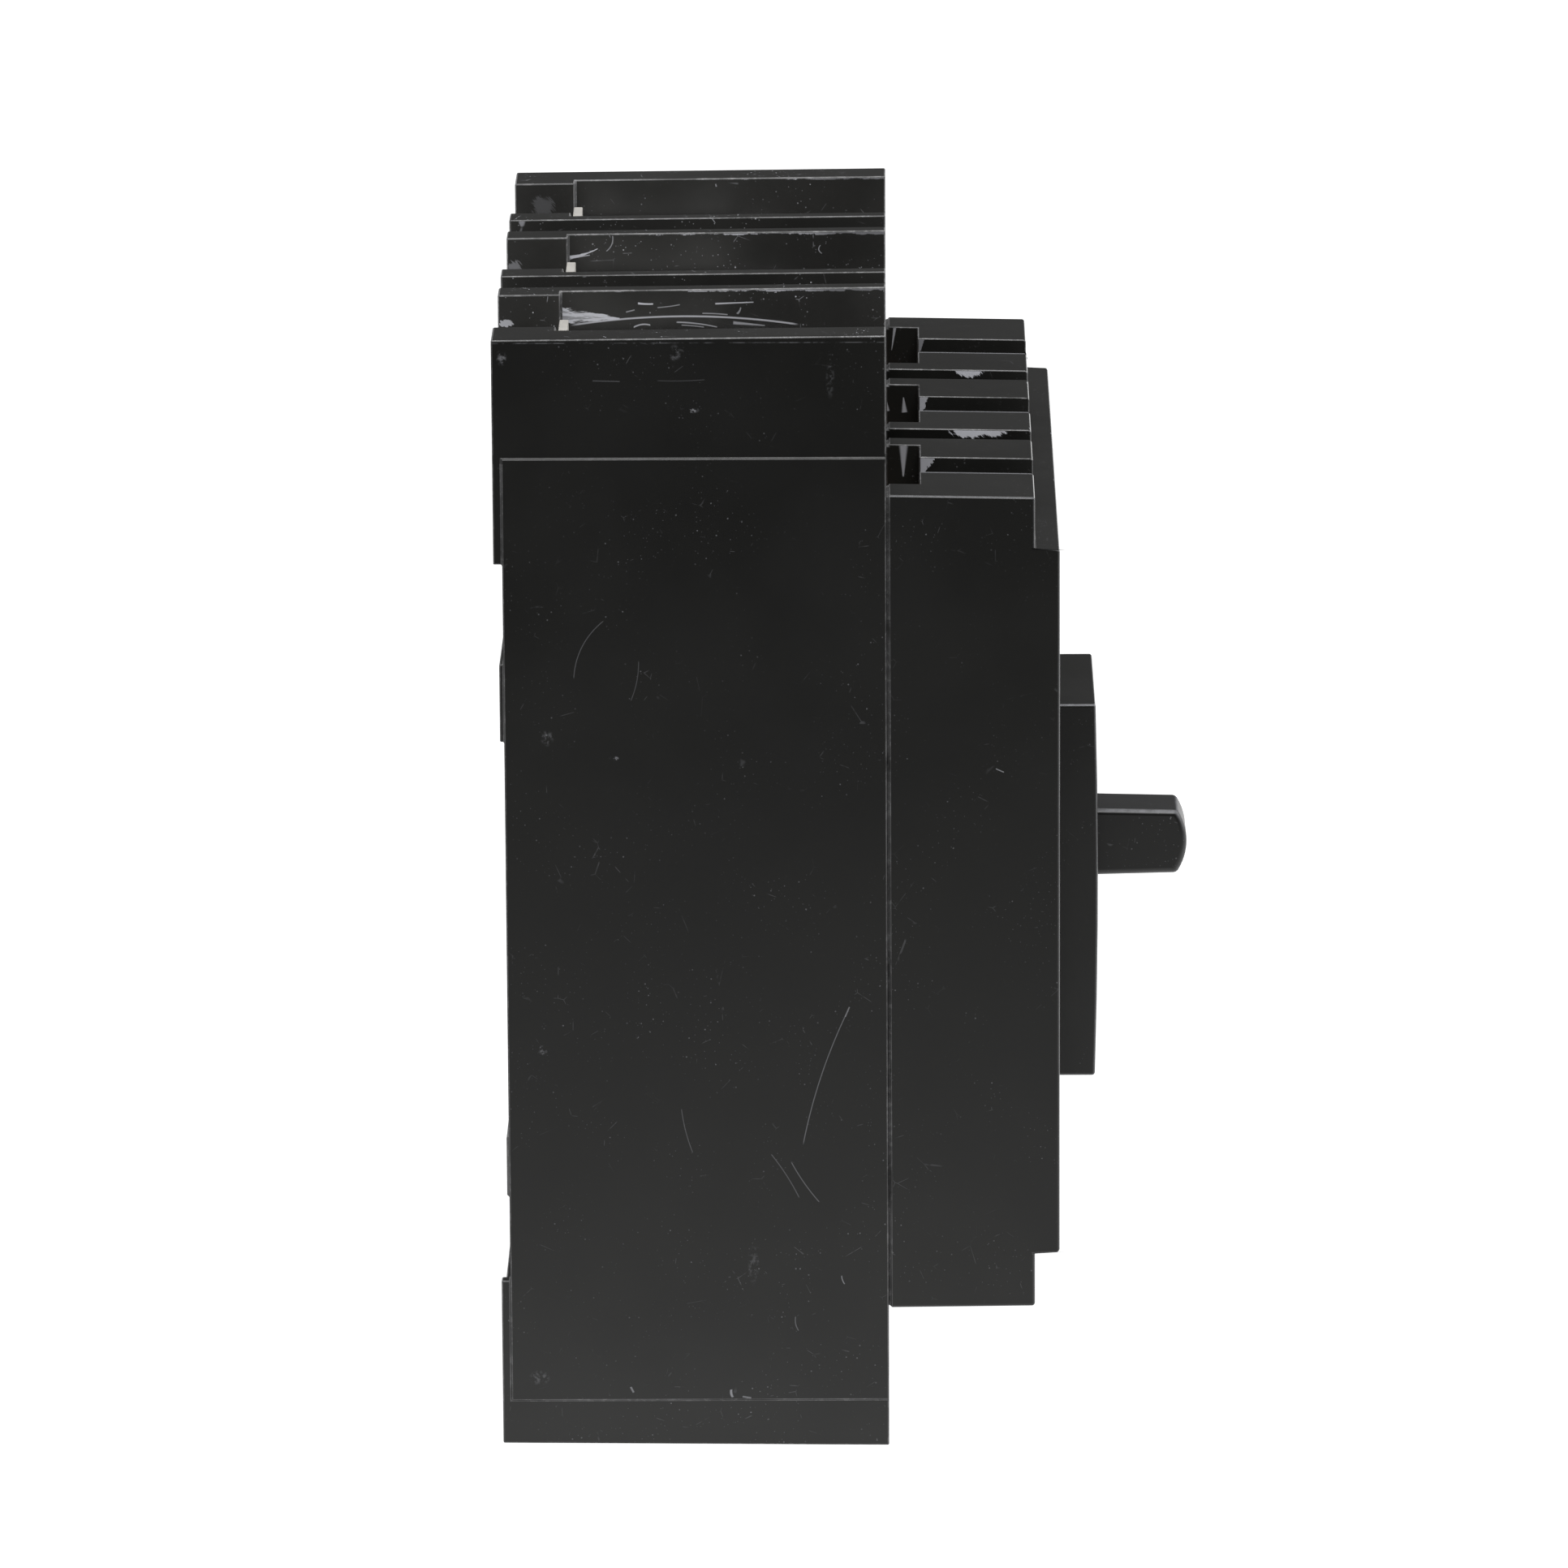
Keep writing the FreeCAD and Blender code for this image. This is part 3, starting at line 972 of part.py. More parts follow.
fill_sheet()
base()
cover()
cover_screws()
rating_label()
handle()
handle_yoke()
side_frames()
frame_pins()
cradle()
toggle_links()
main_springs()
cross_bar()
contact_arms()
line_conductors()
load_conductors()
braids()
arc_chutes()
vent_screens()
lugs()
trip_unit()
trip_button()
check_all()
export()
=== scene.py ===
import json
import math

import bpy
from mathutils import Matrix, Vector


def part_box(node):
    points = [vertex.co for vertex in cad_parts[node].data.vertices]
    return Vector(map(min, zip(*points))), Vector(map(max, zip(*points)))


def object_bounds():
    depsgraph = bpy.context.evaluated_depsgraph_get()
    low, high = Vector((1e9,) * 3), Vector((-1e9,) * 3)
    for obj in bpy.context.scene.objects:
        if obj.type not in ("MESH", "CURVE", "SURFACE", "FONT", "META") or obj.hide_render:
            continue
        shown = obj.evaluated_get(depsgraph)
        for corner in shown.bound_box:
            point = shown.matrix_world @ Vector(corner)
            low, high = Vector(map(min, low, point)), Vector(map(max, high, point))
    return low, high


# A black three-pole molded case breaker standing on its load end, seen from its left side.
# Metres throughout; X runs across the poles, the front faces -Y and the line end is up.

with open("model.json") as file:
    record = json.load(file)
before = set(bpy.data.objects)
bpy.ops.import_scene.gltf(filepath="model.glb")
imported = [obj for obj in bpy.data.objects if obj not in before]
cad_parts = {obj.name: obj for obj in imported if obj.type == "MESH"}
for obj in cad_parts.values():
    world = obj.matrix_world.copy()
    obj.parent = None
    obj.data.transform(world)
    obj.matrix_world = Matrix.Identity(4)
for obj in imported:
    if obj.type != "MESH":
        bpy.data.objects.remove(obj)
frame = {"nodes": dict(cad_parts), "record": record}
cad_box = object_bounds()
MM = 0.001

nodes = frame["nodes"]
low, high = (Vector(corner) for corner in cad_box)
floor_z = low.z

# Camera: aimed at a point of the body from far away, through a long lens.
AIM = Vector((0.0, -37.7, 1.2)) * MM
DISTANCE = 1608.6 * MM
ELEVATION = math.radians(14.18)
YAW = math.radians(0.54)
ROLL = math.radians(0.32)
LENS = 268.45


def camera():
    """The camera looks along +X, a little down, and sets the picture's viewing angle."""
    data = bpy.data.cameras.new("view")
    data.sensor_width = 36.0
    data.lens = LENS
    data.clip_start = 0.05
    data.clip_end = 50.0
    forward = Vector((math.cos(ELEVATION) * math.cos(YAW), math.cos(ELEVATION) * math.sin(YAW),
                      -math.sin(ELEVATION)))
    level = forward.cross(Vector((0, 0, 1))).normalized()
    right = Matrix.Rotation(ROLL, 3, forward) @ level
    up = right.cross(forward)
    turn = Matrix((right, up, -forward)).transposed().to_4x4()
    view = bpy.data.objects.new("view", data)
    bpy.context.scene.collection.objects.link(view)
    view.matrix_world = Matrix.Translation(AIM - forward * DISTANCE) @ turn
    bpy.context.scene.camera = view


class Shader:
    """One procedural material, built node by node around a Principled surface."""

    def __init__(self, name):
        self.material = bpy.data.materials.new(name)
        self.material.use_nodes = True
        self.tree = self.material.node_tree
        self.tree.nodes.clear()
        self.surface = self.tree.nodes.new("ShaderNodeBsdfPrincipled")
        output = self.tree.nodes.new("ShaderNodeOutputMaterial")
        self.tree.links.new(self.surface.outputs[0], output.inputs[0])
        self.place = self.tree.nodes.new("ShaderNodeTexCoord").outputs["Object"]

    def put(self, socket, value):
        """Set a socket to a constant, or link another socket into it."""
        if isinstance(value, bpy.types.NodeSocket):
            self.tree.links.new(value, socket)
        elif socket.type == "RGBA":
            socket.default_value = (*value, 1.0) if len(value) == 3 else value
        else:
            socket.default_value = value

    def math(self, operation, a, b=0.0, clamp=False):
        """A Math node's result."""
        node = self.tree.nodes.new("ShaderNodeMath")
        node.operation = operation
        node.use_clamp = clamp
        self.put(node.inputs[0], a)
        self.put(node.inputs[1], b)
        return node.outputs[0]

    def span(self, value, start, end, low_value=0.0, high_value=1.0):
        """Smoothly map a value from start..end to low_value..high_value, clamped."""
        node = self.tree.nodes.new("ShaderNodeMapRange")
        node.interpolation_type = "SMOOTHSTEP"
        for index, setting in enumerate((value, start, end, low_value, high_value)):
            self.put(node.inputs[index], setting)
        return node.outputs[0]

    def noise(self, per_metre, detail=3.0, roughness=0.55, vector=None, stretch=None):
        """Fractal noise with a number of features in each metre, optionally stretched per axis."""
        node = self.tree.nodes.new("ShaderNodeTexNoise")
        node.inputs["Scale"].default_value = per_metre
        node.inputs["Detail"].default_value = detail
        node.inputs["Roughness"].default_value = roughness
        where = vector or self.place
        if stretch:
            mapping = self.tree.nodes.new("ShaderNodeMapping")
            mapping.inputs["Scale"].default_value = stretch
            self.put(mapping.inputs["Vector"], where)
            where = mapping.outputs[0]
        self.put(node.inputs["Vector"], where)
        return node.outputs["Fac"]

    def specks(self, per_metre, radius):
        """Small round specks: 1 inside a speck, 0 outside; radius in cell widths."""
        node = self.tree.nodes.new("ShaderNodeTexVoronoi")
        node.inputs["Scale"].default_value = per_metre
        self.put(node.inputs["Vector"], self.place)
        return self.span(node.outputs["Distance"], radius * 0.5, radius, 1.0, 0.0)

    def hairs(self, per_metre, width):
        """A web of thin lines that a mask breaks into lint and hairline scratches; width in cell widths."""
        node = self.tree.nodes.new("ShaderNodeTexVoronoi")
        node.feature = "DISTANCE_TO_EDGE"
        node.inputs["Scale"].default_value = per_metre
        self.put(node.inputs["Vector"], self.place)
        return self.span(node.outputs["Distance"], width * 0.4, width, 1.0, 0.0)

    def mix(self, factor, a, b):
        """Blend two colours."""
        node = self.tree.nodes.new("ShaderNodeMix")
        node.data_type = "RGBA"
        self.put(node.inputs["Factor"], factor)
        self.put(node.inputs[6], a)
        self.put(node.inputs[7], b)
        return node.outputs[2]

    def axes(self):
        """X, Y and Z of the object's own coordinates, in metres."""
        node = self.tree.nodes.new("ShaderNodeSeparateXYZ")
        self.put(node.inputs[0], self.place)
        return node.outputs[0], node.outputs[1], node.outputs[2]

    def facing(self):
        """X, Y and Z of the surface's normal."""
        node = self.tree.nodes.new("ShaderNodeSeparateXYZ")
        self.put(node.inputs[0], self.tree.nodes.new("ShaderNodeNewGeometry").outputs["Normal"])
        return node.outputs[0], node.outputs[1], node.outputs[2]

    def within(self, value, low_value, high_value, soft):
        """1 between two values, fading over a soft margin outside them."""
        rise = self.span(value, low_value - soft, low_value)
        fall = self.span(value, high_value, high_value + soft, 1.0, 0.0)
        return self.math("MULTIPLY", rise, fall)

    def bump(self, height, distance, strength=1.0):
        """Turn a height into the surface's normal."""
        node = self.tree.nodes.new("ShaderNodeBump")
        node.inputs["Strength"].default_value = strength
        node.inputs["Distance"].default_value = distance
        self.put(node.inputs["Height"], height)
        self.put(self.surface.inputs["Normal"], node.outputs[0])

    def slanted(self, x, y, z):
        """The place with Y and Z turned 45 degrees about X, for marks that run diagonally."""
        node = self.tree.nodes.new("ShaderNodeCombineXYZ")
        self.put(node.inputs[0], x)
        self.put(node.inputs[1], self.math("ADD", y, z))
        self.put(node.inputs[2], self.math("SUBTRACT", z, y))
        return node.outputs[0]

    def rounds(self):
        """1 on a rounded edge, where the surface faces between two axes, and 0 on the flat faces."""
        parts = [self.math("ABSOLUTE", part) for part in self.facing()]
        largest = self.math("MAXIMUM", self.math("MAXIMUM", parts[0], parts[1]), parts[2])
        return self.span(largest, 0.80, 0.96, 1.0, 0.0)

    def times(self, *values):
        """The product of several values."""
        product = values[0]
        for value in values[1:]:
            product = self.math("MULTIPLY", product, value)
        return product

    def plus(self, *values):
        """The sum of several values."""
        total = values[0]
        for value in values[1:]:
            total = self.math("ADD", total, value)
        return total

    def stroke(self, across_axis, up_axis, start, end, bow, width, taper=0.0):
        """A fine scratch from start to end (in mm on two axes), bowed sideways by bow mm."""
        run = Vector(end) - Vector(start)
        length = run.length
        unit = run / length
        a = self.math("SUBTRACT", across_axis, start[0] * MM)
        b = self.math("SUBTRACT", up_axis, start[1] * MM)
        share = self.math("ADD", self.math("MULTIPLY", a, unit[0] / (length * MM)),
                          self.math("MULTIPLY", b, unit[1] / (length * MM)))
        off = self.math("SUBTRACT", self.math("MULTIPLY", b, unit[0] / MM),
                        self.math("MULTIPLY", a, unit[1] / MM))
        curve = self.times(share, self.math("SUBTRACT", 1.0, share), 4.0 * bow)
        near = self.math("ABSOLUTE", self.math("SUBTRACT", off, curve))
        if taper:
            near = self.math("DIVIDE", near, self.math("MAXIMUM", 0.05, self.math("SUBTRACT", 1.0,
                                                       self.math("MULTIPLY", share, taper))))
        line = self.span(near, width * 0.35, width, 1.0, 0.0)
        return self.times(line, self.within(share, 0.04, 0.96, 0.04))

    def patch(self, across_axis, up_axis, centre, half):
        """A soft oval patch (centre and half sizes in mm on two axes)."""
        u = self.math("DIVIDE", self.math("SUBTRACT", across_axis, centre[0] * MM), half[0] * MM)
        v = self.math("DIVIDE", self.math("SUBTRACT", up_axis, centre[1] * MM), half[1] * MM)
        radius = self.math("SQRT", self.plus(self.times(u, u), self.times(v, v)))
        return self.span(radius, 0.3, 1.0, 1.0, 0.0)


# The moulding's planes that face the left, as X from the middle of a pole (or, for the grooves, from the
# line between two poles), in mm: the far walls of a bay, of the notch in its back wall, of a groove in the
# cover, of a vent and of a driver slot. Poles are counted -1, 0, 1 from the left.
POLES = (-1, 0, 1)
PITCH = 38.1
BAY_WALL = 12.7
NOTCH_WALL = 10.35
GROOVE_WALL = 2.95
VENT_WALL = 11.9
DRIVER_WALL = 4.45
RIBS = [pole * PITCH + BAY_WALL for pole in POLES]
NOTCHES = [pole * PITCH + NOTCH_WALL for pole in POLES]
GROOVES = [side * PITCH / 2 + GROOVE_WALL for side in (-1, 1)]
PLANE_REACH = 0.35  # a mark shows this close to its plane

# Other places of the moulding that its wear, dust and painted highlights follow, in mm.
SEAM_Y = -51.7  # where the cover meets the base
BAYS_Z = 45.0  # the terminal bays lie beyond this height at both ends
RIBS_Z = 60.5  # above this height only the side walls and ribs of the line end stand
RIM_FADE_Y = (-46.0, -38.0)  # the wear on the ribs' rims thins out towards the front between these
SKIN = 0.5  # thickness taken as the left side's own surface
WALL = 1.5  # depth from the sides at which the inside begins
LEDGE_Z = (59.2, 60.3)  # the ledge line across the base
# The faint line is a painted highlight.
SECOND_LINE_Z = (75.30, 75.40)  # a faint line under the top edge of the left side
ESCUTCHEON_SIDE = (14.2, 15.0)  # the escutcheon's outer edges, either side of the middle
CASE_SIDE = (56.2, 56.4)  # beyond these lie the case's outer edges
DRIVER_LIP = (-0.62, 0.3)  # the lip of a driver slot, to either side of its near wall
DRIVER_LIP_Y, DRIVER_LIP_Z = -56.3, 54.0  # the lip lies in front of the one and above the other
SLOT_CORNER_Y, SLOT_CORNER_Z = -56.2, 54.8  # the top corner of a driver slot's wall, nearest the base
SLOT_CORNER_DROP = 3.6  # how far down the light corner reaches there

# Scratches on the left side of the base and cover: start (Y, Z), end (Y, Z), bow, width, strength; mm.
SIDE_SCRATCHES = (
    ((-46.4, -15.9), (-40.5, -34.2), 0.6, 0.09, 0.16),
    ((-46.8, -15.0), (-46.2, -16.4), 0.0, 0.12, 0.22),
    ((-38.9, -36.4), (-42.7, -42.1), 0.2, 0.09, 0.14),
    ((-36.2, -35.3), (-40.0, -41.5), -0.2, 0.09, 0.10),
    ((-24.3, -29.0), (-25.8, -35.2), 0.2, 0.08, 0.10),
    ((-10.5, 30.0), (-14.6, 38.0), -1.0, 0.09, 0.10),
    ((-18.0, 27.0), (-19.1, 32.5), 0.3, 0.08, 0.08),
    ((-13.3, 70.3), (-17.0, 70.2), 0.0, 0.08, 0.12),
    ((-21.8, 70.3), (-28.2, 70.4), 0.1, 0.07, 0.07),
    ((-66.3, 17.6), (-67.4, 17.1), 0.0, 0.10, 0.30),
    ((-30.7, -68.2), (-30.9, -69.3), 0.1, 0.22, 0.32),
    ((-32.2, -69.2), (-33.4, -69.4), 0.0, 0.16, 0.20),
    ((-45.6, -52.3), (-46.0, -53.5), 0.1, 0.10, 0.25),
    ((-39.4, -58.0), (-39.8, -60.0), 0.2, 0.10, 0.12),
    ((-17.2, -67.8), (-17.6, -68.6), 0.0, 0.18, 0.22),
)

# Scuffs on the left side: centre (Y, Z) and half sizes, mm, with strength.
SIDE_SCUFFS = (
    ((-26.5, 66.3), (1.0, 0.45), 0.34),
    ((-15.8, 19.2), (0.8, 0.35), 0.30),
    ((-6.9, 22.0), (1.0, 1.3), 0.12),
    ((-12.0, 55.4), (0.35, 0.25), 0.45),
    ((-24.2, 74.0), (0.9, 1.3), 0.12),
    ((-18.6, -19.2), (0.3, 0.3), 0.30),
    ((-5.9, -21.1), (0.7, 0.6), 0.14),
    ((-44.6, 70.4), (0.7, 3.0), 0.07),
    ((-33.8, -50.6), (0.9, 3.4), 0.06),
    ((-5.0, -66.5), (1.6, 1.2), 0.09),
    ((-1.4, 73.4), (0.8, 1.2), 0.20),
)

# Scratches inside, on the planes that face the left, in mm: X, start (Y, Z), end (Y, Z), bow, width, taper
# (a share of 1) and strength.
INNER_SCRATCHES = (
    (RIBS[0], (-8.2, 72.4), (-16.4, 72.0), -0.1, 1.70, 0.92, 1.00),
    (RIBS[0], (-8.4, 73.5), (-11.4, 72.3), 0.1, 0.40, 0.8, 0.80),
    (RIBS[0], (-9.6, 71.1), (-40.4, 71.1), -1.20, 0.17, 0.0, 0.75),
    (RIBS[0], (-27.3, 72.7), (-30.8, 72.5), -0.05, 0.10, 0.0, 0.50),
    (RIBS[0], (-23.8, 71.5), (-29.4, 70.8), -0.15, 0.15, 0.3, 0.55),
    (RIBS[0], (-24.5, 71.1), (-27.6, 70.8), -0.05, 0.10, 0.0, 0.45),
    (RIBS[0], (-31.4, 71.4), (-35.8, 71.0), 0.0, 0.30, 0.7, 0.50),
    (RIBS[0], (-29.0, 74.0), (-34.3, 74.2), 0.0, 0.16, 0.4, 0.80),
    (RIBS[0], (-18.7, 74.1), (-20.8, 74.0), 0.05, 0.19, 0.3, 0.95),
    (RIBS[0], (-21.3, 73.5), (-24.4, 73.9), 0.05, 0.10, 0.0, 0.40),
    (RIBS[0], (-17.1, 72.9), (-18.3, 73.2), 0.0, 0.11, 0.0, 0.45),
    (RIBS[0], (-32.0, 72.6), (-32.5, 73.5), 0.1, 0.20, 0.5, 0.45),
    (RIBS[0], (-18.1, 70.8), (-20.4, 71.1), -0.25, 0.14, 0.0, 0.75),
    (RIBS[0], (-0.4, 74.6), (-0.4, 71.6), 0.0, 0.14, 0.0, 0.60),
    (RIBS[1], (-8.4, 72.5), (-12.5, 73.8), 0.15, 0.42, 0.85, 0.95),
    (RIBS[1], (-8.8, 72.5), (-11.4, 72.9), 0.0, 0.16, 0.5, 0.70),
    (RIBS[1], (-14.5, 75.6), (-13.6, 73.4), -0.35, 0.10, 0.0, 0.45),
    (RIBS[1], (-43.0, 74.2), (-43.2, 73.0), 0.35, 0.10, 0.0, 0.50),
    (RIBS[2], (-28.1, 75.2), (-28.2, 74.8), 0.0, 0.12, 0.0, 0.50),
)

# How far the chipped wear reaches down from the rims of the ribs, near to far; mm.
RIM_WEAR = (0.95, 1.05, 0.70)

# Light wedges in the vents: pole, broad end (Y, Z), narrow end (Y, Z), half width; mm.
VENT_FLASH_STRENGTH = 0.50
VENT_FLASHES = (
    (-1, (-54.25, 54.9), (-54.2, 50.3), 0.78),
    (0, (-54.45, 50.8), (-54.3, 53.0), 0.52),
    (0, (-52.1, 51.0), (-51.9, 52.8), 0.40),
    (1, (-53.2, 54.9), (-52.7, 51.4), 0.30),
)

# Light corners at the inner ends of the driver slots: pole, length along the slot's mouth in mm, strength.
SLOT_FLASHES = ((-1, 2.7, 0.60), (0, 2.0, 0.60), (1, 1.2, 0.32))

# Rub marks on those planes: X, centre (Y, Z), half sizes, strength.
INNER_SCUFFS = (
    (GROOVES[0], (-63.4, 54.2), (3.9, 1.15), 1.0),
    (GROOVES[0], (-66.2, 54.2), (2.6, 0.9), 0.9),
    (GROOVES[1], (-63.4, 54.3), (2.5, 1.1), 1.0),
    (NOTCHES[1], (-1.0, 71.6), (1.5, 1.5), 0.25),
    (NOTCHES[0], (-1.1, 71.9), (1.5, 0.7), 0.70),
    (NOTCHES[2], (-4.0, 72.6), (2.4, 2.0), 0.09),
)

# Marks wider than this many mm are brushed, finer ones are plain lines.
BRUSHED_WIDTH = 0.35

# The light grey of scratched, rubbed and dusty moulding and of its painted highlights and painted light,
# and how much dust lies outside and in the bays.
MARK_COLOUR = (0.80, 0.81, 0.87)
DUST_OUTSIDE, DUST_IN_BAYS = 0.42, 2.9

# The ruled rows of the rating label: distance from its lower edge, mm.
LABEL_ROWS = (5.0, 9.0, 13.0, 17.0, 21.0, 29.0)


def on_plane(s, x, plane):
    """1 close to a plane of constant X, in mm."""
    return s.within(x, (plane - PLANE_REACH) * MM, (plane + PLANE_REACH) * MM, 0.05 * MM)


def left_side(s, x):
    """1 on the left side's own surface."""
    return s.math("LESS_THAN", x, low.x + SKIN * MM)


def inside_walls(s, x):
    """1 between the two side walls."""
    return s.within(x, low.x + WALL * MM, high.x - WALL * MM, 0.3 * MM)


def side_marks(s, x, y, z, grain):
    """Scratches and scuffs of the left side."""
    marks = 0.0
    for start, end, bow, width, strength in SIDE_SCRATCHES:
        marks = s.math("ADD", marks, s.times(s.stroke(y, z, start, end, bow, width), strength))
    for centre, half, strength in SIDE_SCUFFS:
        marks = s.math("ADD", marks, s.times(s.patch(y, z, centre, half), grain, strength))
    return s.times(marks, left_side(s, x))


def inner_marks(s, x, y, z, chips):
    """Wear on the planes inside the bays, grooves, vents and driver slots that face the left."""
    marks = 0.0
    brushed = s.span(s.noise(1700.0, 4.0, 0.7, stretch=(1.0, 0.10, 1.0)), 0.40, 0.60)
    diagonal = s.noise(1600.0, 4.0, 0.7, vector=s.slanted(x, y, z), stretch=(1.0, 0.14, 1.0))
    hatched = s.span(diagonal, 0.40, 0.60)
    for plane, start, end, bow, width, taper, strength in INNER_SCRATCHES:
        line = s.stroke(y, z, start, end, bow, width, taper)
        if width > BRUSHED_WIDTH:
            line = s.span(s.plus(line, s.times(brushed, 0.75)), 0.85, 1.15)
        marks = s.math("ADD", marks, s.times(line, strength, on_plane(s, x, plane)))
    for plane, centre, half, strength in INNER_SCUFFS:
        oval = s.span(s.plus(s.patch(y, z, centre, half), s.times(hatched, 0.65)), 0.72, 0.98)
        marks = s.math("ADD", marks, s.times(oval, strength, on_plane(s, x, plane)))
    for pole, start, end, width in VENT_FLASHES:
        flash = s.stroke(y, z, start, end, 0.0, width, 0.85)
        marks = s.math("ADD", marks, s.times(flash, VENT_FLASH_STRENGTH,
                                             on_plane(s, x, pole * PITCH + VENT_WALL)))
    for pole, reach, strength in SLOT_FLASHES:
        across = s.math("DIVIDE", s.math("SUBTRACT", SLOT_CORNER_Y * MM, y), reach * MM)
        down = s.math("DIVIDE", s.math("SUBTRACT", SLOT_CORNER_Z * MM, z), SLOT_CORNER_DROP * MM)
        corner = s.math("LESS_THAN", s.plus(across, down, s.times(chips, 0.22)), 1.0)
        marks = s.math("ADD", marks, s.times(corner, strength, on_plane(s, x, pole * PITCH + DRIVER_WALL)))
    for plane, depth in zip(RIBS, RIM_WEAR):
        ragged = s.plus(s.span(z, high.z - depth * MM, high.z - 0.15 * MM), s.times(chips, 0.38))
        thinning = s.span(y, RIM_FADE_Y[0] * MM, RIM_FADE_Y[1] * MM, 0.30, 0.75)
        rim = s.times(s.span(ragged, 0.80, 0.95), thinning)
        marks = s.math("ADD", marks, s.times(rim, on_plane(s, x, plane)))
    return marks


def dust(s, amount):
    """Dust specks, lint and hairline scratches, thicker where the clouds of a noise say so."""
    dusty = s.span(s.noise(90.0, 4.0), 0.42, 0.66)
    wispy = s.span(s.noise(420.0, 2.0), 0.57, 0.65)
    return s.times(s.plus(s.times(s.specks(760.0, 0.10), dusty, 0.34),
                          s.times(s.specks(1500.0, 0.14), dusty, 0.16),
                          s.times(s.hairs(210.0, 0.012), wispy, dusty, 0.16)), amount)


def finish_moulding(s, marks, body, roughness):
    """Join a moulding's body colour and marks into colour, roughness and bump."""
    marks = s.math("MINIMUM", marks, 1.0)
    s.put(s.surface.inputs["Base Color"], s.mix(marks, body, MARK_COLOUR))
    cloudy = s.noise(38.0, 4.0)
    s.put(s.surface.inputs["Roughness"], s.plus(s.span(cloudy, 0.3, 0.7, -0.05, 0.05), roughness,
                                                s.times(marks, 0.3)))
    s.bump(s.noise(900.0, 3.0), 0.02 * MM, 0.2)
    return s.material


def body_colour(s, colour):
    """A moulding's own colour, faintly clouded."""
    cloudy = s.span(s.noise(45.0, 5.0, 0.6), 0.32, 0.68)
    return s.mix(cloudy, tuple(c * 0.80 for c in colour), tuple(c * 1.22 for c in colour))


def rubbed_and_highlit_rounds(s, across, facing_z, grain):
    """Wear and a painted highlight on the rounds of the escutcheon's and the case's outer edges, most where
    they face up.
    """
    outer_edges = s.plus(s.within(across, ESCUTCHEON_SIDE[0] * MM, ESCUTCHEON_SIDE[1] * MM, 0.1 * MM),
                         s.span(across, CASE_SIDE[0] * MM, CASE_SIDE[1] * MM))
    return s.times(s.rounds(), outer_edges, s.span(facing_z, 0.1, 0.5, 0.25, 1.0),
                   s.span(across, 15.5 * MM, 50.0 * MM, 0.36, 0.17), s.span(grain, 0.0, 1.0, 0.8, 1.1))


def driver_lip_highlights(s, x, y, z, facing_z):
    """A painted highlight with whitened wear along the near edge of each driver slot at the line end."""
    lips = 0.0
    for pole in POLES:
        near_wall = pole * PITCH - DRIVER_WALL
        lips = s.math("ADD", lips, s.within(x, (near_wall + DRIVER_LIP[0]) * MM,
                                            (near_wall + DRIVER_LIP[1]) * MM, 0.05 * MM))
    return s.times(lips, s.span(facing_z, 0.8, 0.95), s.math("GREATER_THAN", z, DRIVER_LIP_Z * MM),
                   s.math("LESS_THAN", y, DRIVER_LIP_Y * MM), 0.24)


def case_material():
    """The housing's black moulding: clean and dark outside; dusty in the terminal bays, with painted light
    on their walls that face sideways; worn, with painted highlights.
    """
    s = Shader("black_moulding")
    x, y, z = s.axes()
    grain = s.span(s.noise(1400.0, 4.0, 0.7), 0.46, 0.62)
    chips = s.span(s.noise(260.0, 5.0, 0.75), 0.44, 0.60)
    ends = s.times(inside_walls(s, x), s.math("GREATER_THAN", s.math("ABSOLUTE", z), BAYS_Z * MM))
    facing_x, facing_y, facing_z = s.facing()
    sideways_painted_light = s.span(s.math("ABSOLUTE", facing_x), 0.4, 0.8)
    polished = s.span(facing_y, -0.80, -0.45, 1.0, 0.0)
    in_base = s.math("GREATER_THAN", y, SEAM_Y * MM)
    # Painted light: the bays' walls that face sideways get a lighter colour; the rest of the lift in the
    # bays is dust.
    bay_dust_and_painted_light = s.times(ends, s.plus(s.times(in_base, 0.12), s.times(sideways_painted_light, 0.88)),
                   s.plus(0.30, s.times(in_base, 0.70)))
    outside, bay_dust_and_light_colour = (0.0036, 0.0036, 0.0028), (0.034, 0.0336, 0.0318)
    body = s.mix(bay_dust_and_painted_light, body_colour(s, outside), body_colour(s, bay_dust_and_light_colour))
    leftward = s.span(facing_x, -0.9, -0.6, 1.0, 0.0)
    # Painted highlight: a faint light line under the top edge of the left side.
    painted_line_highlight = s.times(s.within(z, SECOND_LINE_Z[0] * MM, SECOND_LINE_Z[1] * MM, 0.05 * MM),
                          left_side(s, x), chips, 0.10)
    wear_and_highlight = s.plus(side_marks(s, x, y, z, grain), inner_marks(s, x, y, z, chips), painted_line_highlight)
    marks = s.plus(s.times(wear_and_highlight, leftward),
                   rubbed_and_highlit_rounds(s, s.math("ABSOLUTE", x), facing_z, grain),
                   driver_lip_highlights(s, x, y, z, facing_z),
                   dust(s, s.plus(DUST_OUTSIDE, s.times(ends, in_base, DUST_IN_BAYS))))
    return finish_moulding(s, marks, body, s.plus(0.34, s.times(polished, -0.24)))


